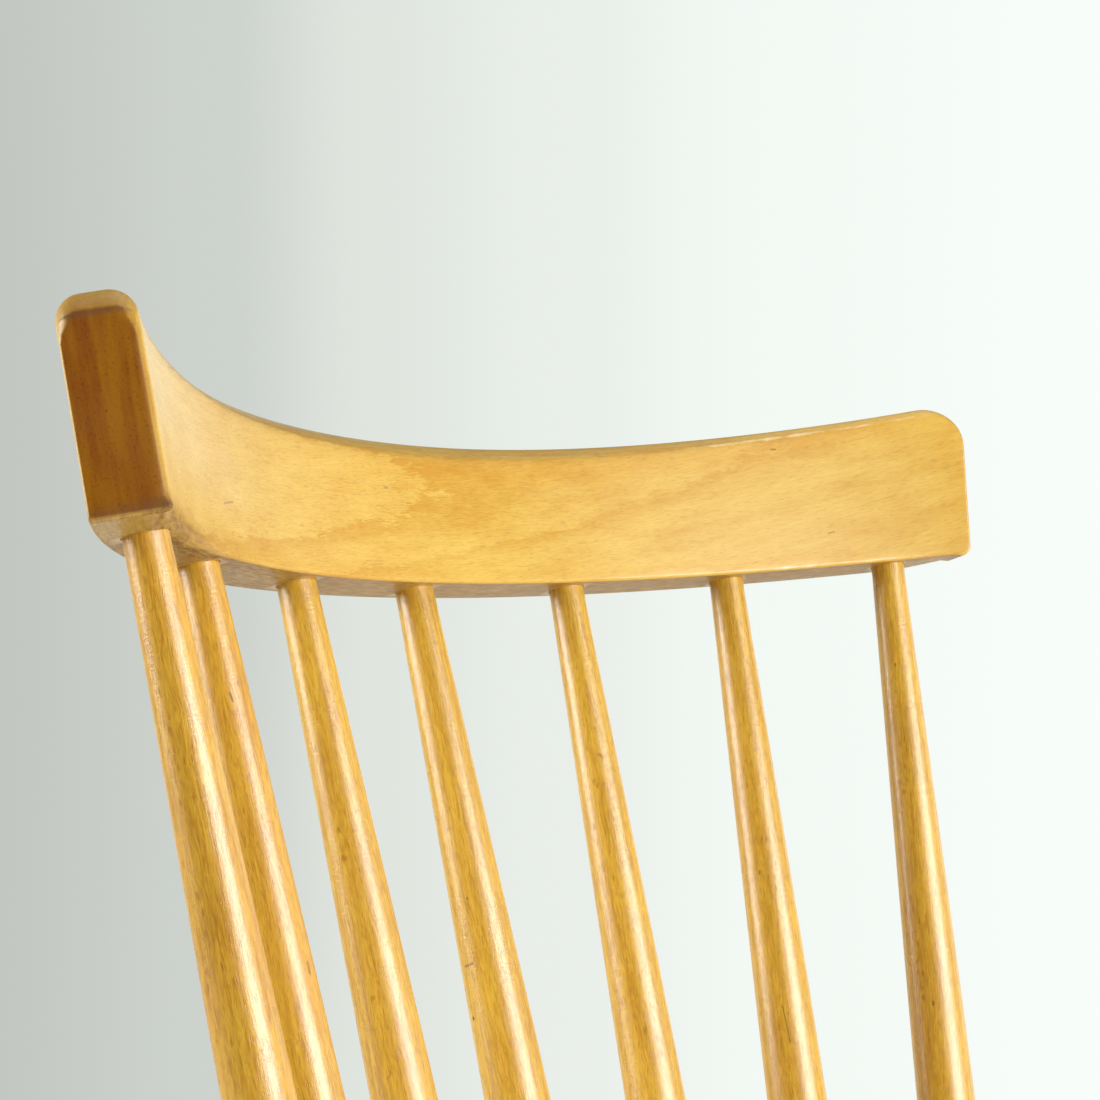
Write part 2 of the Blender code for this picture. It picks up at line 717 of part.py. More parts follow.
def make_chair():
    """Builds every piece of the chair."""
    clear_scene()
    shop = Workshop()
    saddle = saddle_cutter(shop)
    seat_top = seat_top_cutter(shop)

    spindles = [Spindle(index, place) for index, place in enumerate(spindle_places())]
    legs = {f"{end}_{side}": Leg(end, side, sign) for end in ("front", "back") for side, sign in SIDES}
    make_crest_rail(shop, spindles)
    for spindle in spindles:
        spindle.make(shop)
    make_seat(shop, saddle, spindles, legs.values())

    floor = floor_cutter(shop, legs.values())
    leg_items = {}
    for corner, leg in legs.items():
        leg_items[corner] = leg.make(shop, (saddle, seat_top), floor)
        leg.make_wedge(shop, (saddle, seat_top))
        leg.make_glide(shop)

    middles = []
    rails = []
    for side, _ in SIDES:
        front = legs[f"front_{side}"]
        back = legs[f"back_{side}"]
        start = front.at_height(STRETCHER_HEIGHT)
        end = back.at_height(STRETCHER_HEIGHT)
        leg_radius = front.diameter(STRETCHER_HEIGHT / front.axis.z) / 2
        stretcher = Stretcher(f"side_stretcher_{side}", start, end, leg_radius)
        rails.append(stretcher.make(shop))
        front_hole, back_hole = stretcher.mortises(shop)
        cut(leg_items[f"front_{side}"], front_hole)
        cut(leg_items[f"back_{side}"], back_hole)
        middles.append(start.lerp(end, CROSS_STRETCHER_SHARE))

    cross = Stretcher("cross_stretcher", middles[0], middles[1], STRETCHER_BELLY_DIAMETER / 2)
    cross.make(shop)
    for rail, hole in zip(rails, cross.mortises(shop)):
        cut(rail, hole)
    centre_on_floor(shop)


make_chair()
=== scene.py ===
"""The looks of a spindle-back side chair in clear-lacquered beech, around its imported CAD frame.

Every piece is modelled again in finer form where its CAD node stands: metres, +Z up, the sitter faces -Y.
The timber's own coordinates are written on each piece, so that its figure runs through it as through wood.
"""
import logging
import math
import random
from collections.abc import Callable, Iterator, Sequence
from contextlib import contextmanager
from dataclasses import dataclass, field
from enum import Enum

import bpy
from mathutils import Matrix, Vector


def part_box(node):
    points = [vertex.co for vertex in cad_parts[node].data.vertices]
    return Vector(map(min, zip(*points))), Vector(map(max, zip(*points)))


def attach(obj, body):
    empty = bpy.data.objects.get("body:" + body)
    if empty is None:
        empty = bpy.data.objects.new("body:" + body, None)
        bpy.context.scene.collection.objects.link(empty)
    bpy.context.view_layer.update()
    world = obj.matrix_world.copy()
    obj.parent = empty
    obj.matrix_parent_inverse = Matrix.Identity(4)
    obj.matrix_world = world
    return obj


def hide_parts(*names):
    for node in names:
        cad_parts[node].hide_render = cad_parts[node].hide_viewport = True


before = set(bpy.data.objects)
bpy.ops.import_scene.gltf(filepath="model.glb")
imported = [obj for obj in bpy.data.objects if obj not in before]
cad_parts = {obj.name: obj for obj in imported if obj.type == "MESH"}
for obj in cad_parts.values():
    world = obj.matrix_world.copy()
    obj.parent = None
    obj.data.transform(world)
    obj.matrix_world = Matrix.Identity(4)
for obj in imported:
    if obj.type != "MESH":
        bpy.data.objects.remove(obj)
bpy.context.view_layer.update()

LOG = logging.getLogger("side_chair")
UP = Vector((0.0, 0.0, 1.0))
CLEARANCE = 0.0003
SMOOTH_ANGLE = math.radians(34)
RELIEF_DEPTH = 0.0002
COAT_IOR = 1.58
STRETCHER_HEIGHT = 0.170
MIDDLE_SPINDLE = 3
STAVE_SEED = 40
TIMBER_SEED = 11
ARRIS_SEED = 5

Colour = tuple[float, float, float]
Point = tuple[float, float, float]
Patina = tuple[float, float, float, float]
Ring = list[Vector]
Profile = list[tuple[float, float]]
EdgePoint = tuple[Vector, Vector, float]


class Slot(Enum):
    """The record's material slots."""

    BEECH = "lacquered_beech"
    WEDGE = "dark_wedge_wood"
    GLIDE = "glide_plastic"


class End(Enum):
    """The chair's two ends, front and back, with the way that each one faces along Y."""

    FRONT = -1
    BACK = 1


class Side(Enum):
    """The chair's two sides, as seen from in front of it, with the sign of their X."""

    LEFT = -1
    RIGHT = 1


# Modelling


def evenly(first: float, last: float, steps: int) -> list[float]:
    """Evenly spaced values from first to last."""
    return [first + (last - first) * i / steps for i in range(steps + 1)]


def smooth_step(low: float, high: float, value: float) -> float:
    """A soft step from 0 at low to 1 at high."""
    share = min(1.0, max(0.0, (value - low) / (high - low)))
    return share * share * (3 - 2 * share)


def bell(distance: float, width: float) -> float:
    """A soft hump, 1 at no distance and almost 0 at two widths."""
    return math.exp(-(distance / width) ** 2)


def make_active(item: bpy.types.Object) -> None:
    """Selects one object alone and makes it the active one."""
    bpy.ops.object.select_all(action="DESELECT")
    item.select_set(True)
    bpy.context.view_layer.objects.active = item


@contextmanager
def editing(item: bpy.types.Object) -> Iterator[None]:
    """Edit mode on one object, with its whole mesh selected at the start."""
    make_active(item)
    bpy.ops.object.mode_set(mode="EDIT")
    bpy.ops.mesh.select_all(action="SELECT")
    yield
    bpy.ops.object.mode_set(mode="OBJECT")


def apply_step(item: bpy.types.Object, step: bpy.types.Modifier) -> None:
    """Applies a modifier to its object."""
    make_active(item)
    bpy.ops.object.modifier_apply(modifier=step.name)


def settle(item: bpy.types.Object) -> None:
    """Puts an object's place and turn into its mesh."""
    make_active(item)
    bpy.ops.object.transform_apply(location=True, rotation=True, scale=True)


def loft(name: str, rings: Sequence[Ring]) -> bpy.types.Object:
    """Extrudes a filled circle ring by ring and lays every ring on its own loop of points.

    Args:
        name: the new object's name.
        rings: loops of points from one end to the other, all with the same number of points.

    Returns:
        The closed object, at the origin.
    """
    count = len(rings[0])
    bpy.ops.object.select_all(action="DESELECT")
    bpy.ops.mesh.primitive_circle_add(vertices=count, radius=1.0, fill_type="NGON")
    item = bpy.context.active_object
    item.name = name
    item.data.name = name
    with editing(item):
        bpy.ops.mesh.select_mode(type="FACE")
        for _ in rings[1:]:
            bpy.ops.mesh.extrude_region_move(TRANSFORM_OT_translate={"value": UP})
    for vertex in item.data.vertices:
        turn = math.atan2(-vertex.co.x, vertex.co.y)
        vertex.co = rings[round(vertex.co.z)][round(turn * count / math.tau) % count]
    with editing(item):
        bpy.ops.mesh.normals_make_consistent(inside=False)
    return item


def cut_planes(item: bpy.types.Object, normal: Vector, places: Sequence[float]) -> None:
    """Divides a mesh by parallel planes at these distances along their normal."""
    with editing(item):
        for place in places:
            bpy.ops.mesh.select_all(action="SELECT")
            bpy.ops.mesh.bisect(plane_co=normal * place, plane_no=normal, threshold=0.0001)


def bore_holes(item: bpy.types.Object, holes: Sequence["Hole"]) -> None:
    """Cuts round holes into a piece with one Boolean.

    Args:
        item: the piece.
        holes: the holes, which don't touch each other.
    """
    drills = [hole.drill() for hole in holes]
    make_active(drills[0])
    for drill in drills:
        drill.select_set(True)
    bpy.ops.object.join()
    cutter = bpy.context.active_object
    step = item.modifiers.new("holes", "BOOLEAN")
    step.operation = "DIFFERENCE"
    step.solver = "EXACT"
    step.object = cutter
    apply_step(item, step)
    bpy.data.objects.remove(cutter, do_unlink=True)


@dataclass(frozen=True)
class Axis:
    """A straight axis that round pieces are turned about."""

    start: Vector
    direction: Vector

    def frame(self) -> Matrix:
        """The frame at the start, with +Z along the axis."""
        turn = UP.rotation_difference(self.direction).to_matrix().to_4x4()
        return Matrix.Translation(self.start) @ turn

    def circle(self, along: float, radius: float, steps: int) -> Ring:
        """A circle about the axis at a distance along it."""
        place = self.frame()
        turns = [math.tau * i / steps for i in range(steps)]
        return [place @ Vector((radius * math.cos(t), radius * math.sin(t), along)) for t in turns]

    def turned(self, name: str, profile: Profile, steps: int) -> bpy.types.Object:
        """Turns a profile of (radius, distance along the axis), from one end to the other."""
        return loft(name, [self.circle(along, radius, steps) for radius, along in profile])


@dataclass(frozen=True)
class Hole:
    """A round hole with a flat end, from its mouth inwards."""

    mouth: Vector
    inward: Vector
    diameter: float
    depth: float
    overrun: float = 0.012
    steps: int = 48

    def drill(self) -> bpy.types.Object:
        """The cutter, which starts outside the mouth."""
        axis = Axis(self.mouth, self.inward)
        radius = self.diameter / 2
        return axis.turned("drill", [(radius, -self.overrun), (radius, self.depth)], self.steps)


def chamfered_end(radius: float, end: float, inward: int, chamfer: float = 0.0012) -> Profile:
    """A tenon end's profile from near its axis outwards, eased at its edge.

    Args:
        radius: the tenon's radius.
        end: where the tenon ends, along its axis.
        inward: the sign of the way back into the piece.
        chamfer: how far the edge is eased.

    Returns:
        Pairs of (radius, distance along the axis).
    """
    return [(radius * 0.08, end), (radius - chamfer, end), (radius, end + inward * chamfer)]


# Timber


@dataclass(frozen=True)
class Blank:
    """The straight-grained timber that a piece is cut from.

    Args:
        place: the blank's frame, with +X along its fibres.
        pith: how far the tree's middle lies from the blank's axis, along the blank's Y and Z.
        start: how far up the tree the blank begins.
        slope: how fast the tree's middle drifts off the blank's axis, along Y and Z.
    """

    place: Matrix
    pith: tuple[float, float]
    start: float = 0.0
    slope: tuple[float, float] = (0.0, 0.0)

    def lay_flat(self, local: Vector) -> Vector:
        """A point of the blank before it was bent: nothing bends a straight blank."""
        return local

    def fibres_at(self, local: Vector) -> Vector:
        """The way that the fibres run at a point of the blank, in the blank's frame."""
        return Vector((1.0, 0.0, 0.0))

    def write_on(self, item: bpy.types.Object) -> None:
        """Writes on a mesh where each corner lay in the tree and how far it faces along the fibres."""
        mesh = item.data
        back = self.place.inverted()
        turn_back = back.to_3x3()
        grain = mesh.attributes.new("grain", "FLOAT_VECTOR", "POINT")
        for vertex, value in zip(mesh.vertices, grain.data):
            flat = self.lay_flat(back @ vertex.co)
            value.vector = (
                flat.x + self.start,
                flat.y + self.pith[0] + self.slope[0] * flat.x,
                flat.z + self.pith[1] + self.slope[1] * flat.x,
            )
        across = mesh.attributes.new("end_grain", "FLOAT", "POINT")
        for vertex, value in zip(mesh.vertices, across.data):
            fibres = self.fibres_at(back @ vertex.co)
            value.value = abs((turn_back @ vertex.normal).dot(fibres))


@dataclass(frozen=True)
class BentBlank(Blank):
    """Timber bent to an arc about an axis along its Z, with its middle at the blank's origin."""

    radius: float = 0.3

    def lay_flat(self, local: Vector) -> Vector:
        """A point of the blank before it was bent."""
        turn = math.atan2(local.x, local.y + self.radius)
        reach = math.hypot(local.x, local.y + self.radius)
        return Vector((turn * self.radius, reach - self.radius, local.z))

    def fibres_at(self, local: Vector) -> Vector:
        """The way that the fibres run along the bend."""
        turn = math.atan2(local.x, local.y + self.radius)
        return Vector((math.cos(turn), -math.sin(turn), 0.0))


@dataclass(frozen=True)
class StavedBlank(Blank):
    """A board glued up from staves of one timber, side by side along its Y, each with its own figure."""

    joints: tuple[float, ...] = ()

    def write_on(self, item: bpy.types.Object) -> None:
        """Writes on a mesh that is divided along the joints where each corner lay in its stave's tree."""
        super().write_on(item)
        mesh = item.data
        mesh.attributes.remove(mesh.attributes["grain"])
        back = self.place.inverted()
        grain = mesh.attributes.new("grain", "FLOAT_VECTOR", "CORNER")
        for face in mesh.polygons:
            stave = sum((back @ face.center).y > joint for joint in self.joints)
            draw = random.Random(STAVE_SEED + stave)
            begin, aside, below = draw.uniform(0.0, 3.0), draw.uniform(-0.03, 0.03), draw.uniform(0.05, 0.09)
            drift = draw.uniform(-0.03, 0.03)
            edge = ((-0.2,) + self.joints)[stave]
            for corner in face.loop_indices:
                local = back @ mesh.vertices[mesh.loops[corner].vertex_index].co
                across = local.y - edge + aside + drift * local.x
                grain.data[corner].vector = (local.x + begin, across, local.z - below)


def along_axis(axis: Axis) -> Matrix:
    """A blank's frame for a turned piece: +X along the axis."""
    return axis.frame() @ Matrix(((0, 0, 1, 0), (0, 1, 0, 0), (1, 0, 0, 0), (0, 0, 0, 1)))


def write_patina(item: bpy.types.Object, wear: Callable[[Vector, Vector], Patina]) -> None:
    """Writes on a mesh, at each corner by its place and normal, its pale arrises with some painted highlight,
    its dirt and painted shade, its bare wood and its amber.
    """
    patina = item.data.attributes.new("patina", "FLOAT_COLOR", "POINT")
    for vertex, value in zip(item.data.vertices, patina.data):
        value.color = wear(vertex.co, vertex.normal)


# Shader nodes


Plug = bpy.types.NodeSocket | float | Sequence[float]
SocketNames = dict[str, tuple[str, ...]]
COLOUR_SOCKET = "NodeSocketColor"
FLOAT_SOCKET = "NodeSocketFloat"
VECTOR_SOCKET = "NodeSocketVector"


class NodeDesk:
    """Adds nodes to a tree and wires them."""

    def __init__(self, tree: bpy.types.NodeTree) -> None:
        """Starts work on a tree."""
        self.tree = tree

    def add(self, kind: str, **settings: object) -> bpy.types.Node:
        """Adds a node of a kind and sets its properties."""
        node = self.tree.nodes.new(kind)
        for name, value in settings.items():
            setattr(node, name, value)
        return node

    def wire(self, socket: bpy.types.NodeSocket, value: Plug) -> None:
        """Links a socket to another one, or sets its value."""
        if isinstance(value, bpy.types.NodeSocket):
            self.tree.links.new(value, socket)
        else:
            socket.default_value = value

    def math(self, operation: str, *values: Plug, clamp: bool = False) -> bpy.types.NodeSocket:
        """A Math node's result."""
        node = self.add("ShaderNodeMath", operation=operation, use_clamp=clamp)
        for socket, value in zip(node.inputs, values):
            self.wire(socket, value)
        return node.outputs[0]

    def times(self, first: Plug, second: Plug, clamp: bool = False) -> bpy.types.NodeSocket:
        """The product of two values."""
        return self.math("MULTIPLY", first, second, clamp=clamp)

    def plus(self, first: Plug, second: Plug, clamp: bool = False) -> bpy.types.NodeSocket:
        """The sum of two values."""
        return self.math("ADD", first, second, clamp=clamp)

    def less(self, first: Plug, second: Plug) -> bpy.types.NodeSocket:
        """The first value less the second one."""
        return self.math("SUBTRACT", first, second)

    def scaled(self, vector: Plug, scale: Plug) -> bpy.types.NodeSocket:
        """A vector with each part times its own scale."""
        return self.vector("MULTIPLY", vector, scale)

    def vector(self, operation: str, *values: Plug, result: str = "Vector") -> bpy.types.NodeSocket:
        """A Vector Math node's vector, or its value."""
        node = self.add("ShaderNodeVectorMath", operation=operation)
        for socket, value in zip(node.inputs, values):
            self.wire(socket, value)
        return node.outputs[result]

    def length(self, vector: Plug) -> bpy.types.NodeSocket:
        """A vector's length."""
        return self.vector("LENGTH", vector, result="Value")

    def dot(self, first: Plug, second: Plug) -> bpy.types.NodeSocket:
        """The dot product of two vectors."""
        return self.vector("DOT_PRODUCT", first, second, result="Value")

    def split(self, vector: Plug) -> tuple[bpy.types.NodeSocket, ...]:
        """A vector's three parts."""
        node = self.add("ShaderNodeSeparateXYZ")
        self.wire(node.inputs[0], vector)
        return tuple(node.outputs)

    def join(self, x: Plug, y: Plug, z: Plug) -> bpy.types.NodeSocket:
        """A vector of three parts."""
        node = self.add("ShaderNodeCombineXYZ")
        for socket, value in zip(node.inputs, (x, y, z)):
            self.wire(socket, value)
        return node.outputs[0]

    def noise(self, vector: Plug, scale: float, detail: float = 2.0,
              roughness: float = 0.5) -> bpy.types.NodeSocket:
        """A noise from 0 to 1."""
        node = self.add("ShaderNodeTexNoise", noise_dimensions="3D")
        self.wire(node.inputs["Vector"], vector)
        node.inputs["Scale"].default_value = scale
        node.inputs["Detail"].default_value = detail
        node.inputs["Roughness"].default_value = roughness
        return node.outputs["Fac"]

    def ramp(self, value: Plug, low: Plug, high: Plug, first: Plug = 0.0,
             last: Plug = 1.0) -> bpy.types.NodeSocket:
        """A soft step of a value from first at low to last at high."""
        node = self.add("ShaderNodeMapRange", interpolation_type="SMOOTHSTEP")
        for socket, plug in zip(node.inputs, (value, low, high, first, last)):
            self.wire(socket, plug)
        return node.outputs[0]

    def mix(self, factor: Plug, first: Plug, second: Plug, blend: str = "MIX") -> bpy.types.NodeSocket:
        """A mix of two colours."""
        node = self.add("ShaderNodeMix", data_type="RGBA", blend_type=blend)
        self.wire(node.inputs["Factor"], factor)
        self.wire(node.inputs["A"], rgba(first))
        self.wire(node.inputs["B"], rgba(second))
        return node.outputs["Result"]


def rgba(value: Plug) -> Plug:
    """Adds an alpha to a plain colour and leaves a socket as it is."""
    if isinstance(value, bpy.types.NodeSocket):
        return value
    return (*value[:3], 1.0)


class ShaderGroup:
    """A shared shader node group with named inputs and outputs, built once."""

    def __init__(self, name: str, inputs: SocketNames, outputs: SocketNames) -> None:
        """Makes an empty group.

        Args:
            name: the group's name.
            inputs: the inputs' names by socket type.
            outputs: the outputs' names by socket type.
        """
        self.tree = bpy.data.node_groups.new(name, "ShaderNodeTree")
        for way, sockets in (("INPUT", inputs), ("OUTPUT", outputs)):
            for kind, labels in sockets.items():
                for label in labels:
                    self.tree.interface.new_socket(label, in_out=way, socket_type=kind)
        self.desk = NodeDesk(self.tree)
        self.given = self.desk.add("NodeGroupInput").outputs
        self.result = self.desk.add("NodeGroupOutput").inputs

    def place(self, desk: NodeDesk, **values: Plug) -> bpy.types.NodeOutputs:
        """Puts the group into a material with its own values.

        Args:
            desk: the material's node desk.
            values: each input's value or link, by its name in lower case with _ for spaces.

        Returns:
            The group node's outputs.
        """
        node = desk.add("ShaderNodeGroup", node_tree=self.tree)
        for name, value in values.items():
            desk.wire(node.inputs[name.replace("_", " ").title()], value)
        return node.outputs


def new_finish(name: str) -> tuple[bpy.types.Material, NodeDesk, bpy.types.NodeInputs]:
    """A new material, its node desk and its shader's inputs."""
    finish = bpy.data.materials.new(name)
    finish.use_nodes = True
    return finish, NodeDesk(finish.node_tree), finish.node_tree.nodes["Principled BSDF"].inputs


def beech_figure() -> ShaderGroup:
    """Builds the figure of beech: growth rings, ray flecks and pores, through the whole timber.

    Returns:
        The group. Grain is a place in the tree, in metres, with X along the fibres.
    """
    group = ShaderGroup(
        "beech_figure",
        {
            VECTOR_SOCKET: ("Grain",),
            COLOUR_SOCKET: ("Early", "Late", "Fleck Colour"),
            FLOAT_SOCKET: ("Ring Spacing", "Ring Start", "Ring End", "Ring Strength", "Streak Strength",
                           "Mottle", "Fleck Strength", "Chatter"),
        },
        {COLOUR_SOCKET: ("Color",), FLOAT_SOCKET: ("Tone", "Height")},
    )
    desk, given = group.desk, group.given
    along, straight_y, straight_z = desk.split(given["Grain"])
    curl = desk.add("ShaderNodeTexNoise", noise_dimensions="3D")
    desk.wire(curl.inputs["Vector"], desk.scaled(given["Grain"], (85.0, 240.0, 240.0)))
    curl.inputs["Scale"].default_value = 1.0
    curl.inputs["Detail"].default_value = 1.0
    curl_y, curl_z, _ = desk.split(curl.outputs["Color"])
    across_y = desk.math("MULTIPLY_ADD", curl_y, 0.0012, straight_y)
    across_z = desk.math("MULTIPLY_ADD", curl_z, 0.0012, straight_z)

    def stretched(lengthwise: float, crosswise: float) -> bpy.types.NodeSocket:
        """The place in the tree at its own scale along and across the fibres."""
        return desk.join(desk.times(along, lengthwise), desk.times(across_y, crosswise),
                         desk.times(across_z, crosswise))

    def centred(value: bpy.types.NodeSocket, spread: float) -> bpy.types.NodeSocket:
        """A noise about zero."""
        return desk.times(desk.less(value, 0.5), spread)

    sway = desk.noise(stretched(3.0, 26.0), 1.0, 2.0)
    radius = desk.plus(desk.length(desk.join(0.0, across_y, across_z)), centred(sway, 0.0015))
    bearing = desk.math("ARCTAN2", across_z, across_y)
    fray = desk.noise(stretched(210.0, 1500.0), 1.0, 5.0, 0.7)
    year = desk.plus(desk.math("DIVIDE", radius, given["Ring Spacing"]), centred(fray, 0.75))
    season = desk.math("FRACT", year)
    fading = desk.math("POWER", desk.less(1.0, season), 1.6)
    late = desk.times(fading, desk.ramp(season, 0.0, 0.08))
    inner = desk.less(radius, given["Ring Start"])
    late = desk.times(late, desk.ramp(inner, 0.0, 0.0012, 0.2, 1.0))
    outer = desk.less(radius, given["Ring End"])
    late = desk.times(late, desk.ramp(outer, 0.0, 0.004, 1.0, 0.2))
    clouds = desk.noise(stretched(18.0, 60.0), 1.0, 3.0)
    lines = desk.noise(desk.join(desk.times(along, 8.0), desk.times(radius, 1100.0),
                                 desk.times(bearing, 40.0)), 1.0, 3.0)
    mottle = desk.noise(stretched(48.0, 170.0), 1.0, 2.0)
    streaks = desk.noise(stretched(55.0, 1200.0), 1.0, 3.0, 0.6)
    fibres = desk.noise(stretched(130.0, 2300.0), 1.0, 3.0, 0.65)
    tone = desk.math("MULTIPLY_ADD", late, given["Ring Strength"], 0.22)
    blotches = desk.plus(centred(clouds, 0.8), centred(mottle, 1.0))
    tone = desk.math("MULTIPLY_ADD", blotches, given["Mottle"], tone)
    threads = desk.plus(centred(lines, 0.6), centred(streaks, 0.9))
    threads = desk.plus(threads, centred(fibres, 1.5))
    tone = desk.plus(tone, desk.times(threads, given["Streak Strength"]), clamp=True)
    colour = desk.mix(tone, given["Early"], given["Late"])

    arc = desk.times(bearing, radius)
    sheet = desk.join(desk.times(along, 210.0), desk.times(radius, 420.0), desk.times(arc, 2300.0))
    rays = desk.add("ShaderNodeTexVoronoi", voronoi_dimensions="3D", feature="F1")
    desk.wire(rays.inputs["Vector"], sheet)
    rays.inputs["Scale"].default_value = 1.0
    lens = desk.ramp(rays.outputs["Distance"], 0.10, 0.42, 1.0, 0.0)
    pick = desk.split(rays.outputs["Color"])[0]
    fleck = desk.times(lens, desk.ramp(pick, 0.20, 0.95))
    fleck = desk.times(fleck, desk.ramp(clouds, 0.35, 0.62, 0.35, 1.0))
    pores = desk.noise(stretched(230.0, 4300.0), 1.0, 2.0)
    pore = desk.times(desk.ramp(pores, 0.52, 0.70), 0.75)
    mark = desk.math("MAXIMUM", fleck, pore)
    dark = desk.times(mark, given["Fleck Strength"])
    desk.wire(group.result["Color"], desk.mix(dark, colour, given["Fleck Colour"]))
    desk.wire(group.result["Tone"], tone)
    uneven = desk.noise(stretched(60.0, 420.0), 1.0, 2.0)
    relief = desk.plus(desk.times(uneven, 0.2), desk.times(fibres, 0.6))
    relief = desk.less(relief, desk.times(mark, 0.25))
    ripples = desk.noise(stretched(1400.0, 480.0), 1.0, 2.0, 0.6)
    desk.wire(group.result["Height"], desk.math("MULTIPLY_ADD", ripples, given["Chatter"], relief))
    return group


def hand_wear() -> ShaderGroup:
    """Builds use on lacquer with some painted light: pale arrises and highlights, dirt and painted shade in
    hollows, a duller gloss.

    Returns:
        The group. Patina holds pale arrises and painted highlights in X, dirt and painted shade in Y and bare
        wood in Z; Amber is yellowed lacquer.
    """
    group = ShaderGroup(
        "hand_wear",
        {
            COLOUR_SOCKET: ("Color", "Rubbed", "Grime"),
            VECTOR_SOCKET: ("Patina", "Grain"),
            FLOAT_SOCKET: ("Amber", "Gloss", "Coat"),
        },
        {COLOUR_SOCKET: ("Color",), FLOAT_SOCKET: ("Roughness", "Coat")},
    )
    desk, given = group.desk, group.given
    # The first part holds pale arrises and painted highlights, the second dirt and painted shade.
    worn, grime_and_shade_amount, bare = desk.split(given["Patina"])
    patches = desk.noise(desk.scaled(given["Grain"], (150.0, 420.0, 420.0)), 1.0, 4.0, 0.6)
    specks = desk.noise(desk.scaled(given["Grain"], (150.0, 800.0, 800.0)), 1.0, 4.0, 0.68)
    line = desk.ramp(desk.plus(worn, desk.times(patches, 0.5)), 0.98, 1.20)
    dirt_and_shade = desk.times(grime_and_shade_amount, desk.ramp(specks, 0.32, 0.66, 0.55, 1.0))
    smears = desk.noise(given["Grain"], 46.0, 3.0, 0.55)
    amber = desk.times(given["Amber"], desk.ramp(smears, 0.30, 0.65, 0.45, 1.0))
    colour = desk.mix(amber, given["Color"], (0.97, 0.80, 0.36), "MULTIPLY")
    # Pale arrises, partly a painted highlight.
    colour = desk.mix(desk.times(line, 0.8), colour, given["Rubbed"])
    # Dirt and painted shade.
    desk.wire(group.result["Color"], desk.mix(dirt_and_shade, colour, given["Grime"]))
    rough = desk.plus(given["Gloss"], desk.times(desk.less(smears, 0.5), 0.30))
    rough = desk.plus(rough, desk.times(dirt_and_shade, 0.25))
    rough = desk.plus(rough, desk.times(bare, 0.25), clamp=True)
    desk.wire(group.result["Roughness"], rough)
    kept = desk.less(1.0, desk.math("MAXIMUM", bare, desk.times(dirt_and_shade, 0.8)))
    desk.wire(group.result["Coat"], desk.times(given["Coat"], kept, clamp=True))
    return group


def small_mark() -> ShaderGroup:
    """Builds one small mark: a dot or a hairline between two places, uneven at its rim.

    Returns:
        The group. Start, End and Width are in metres, in the frame.
    """
    group = ShaderGroup(
        "small_mark",
        {
            COLOUR_SOCKET: ("Color", "Stain"),
            VECTOR_SOCKET: ("Place", "Start", "End"),
            FLOAT_SOCKET: ("Width", "Strength"),
        },
        {COLOUR_SOCKET: ("Color",)},
    )
    desk, given = group.desk, group.given
    run = desk.vector("SUBTRACT", given["End"], given["Start"])
    away = desk.vector("SUBTRACT", given["Place"], given["Start"])
    share = desk.math("DIVIDE", desk.dot(away, run), desk.dot(run, run), clamp=True)
    nearest = desk.scaled(run, desk.join(share, share, share))
    gap = desk.length(desk.vector("SUBTRACT", away, nearest))
    ragged = desk.math("MULTIPLY_ADD", desk.noise(given["Place"], 2600.0), 0.9, 0.55)
    edge = desk.times(given["Width"], ragged)
    mask = desk.ramp(gap, desk.times(edge, 0.25), edge, 1.0, 0.0)
    factor = desk.times(mask, given["Strength"])
    desk.wire(group.result["Color"], desk.mix(factor, given["Color"], given["Stain"]))
    return group


@dataclass(frozen=True)
class Mark:
    """A small mark that use has left at one place, from start to end in the frame."""

    start: Point
    end: Point
    width: float
    stain: Colour = (0.06, 0.022, 0.008)
    strength: float = 0.8


@dataclass(frozen=True)
class Effects:
    """The shader groups that the finishes share."""

    figure: ShaderGroup
    wear: ShaderGroup
    mark: ShaderGroup


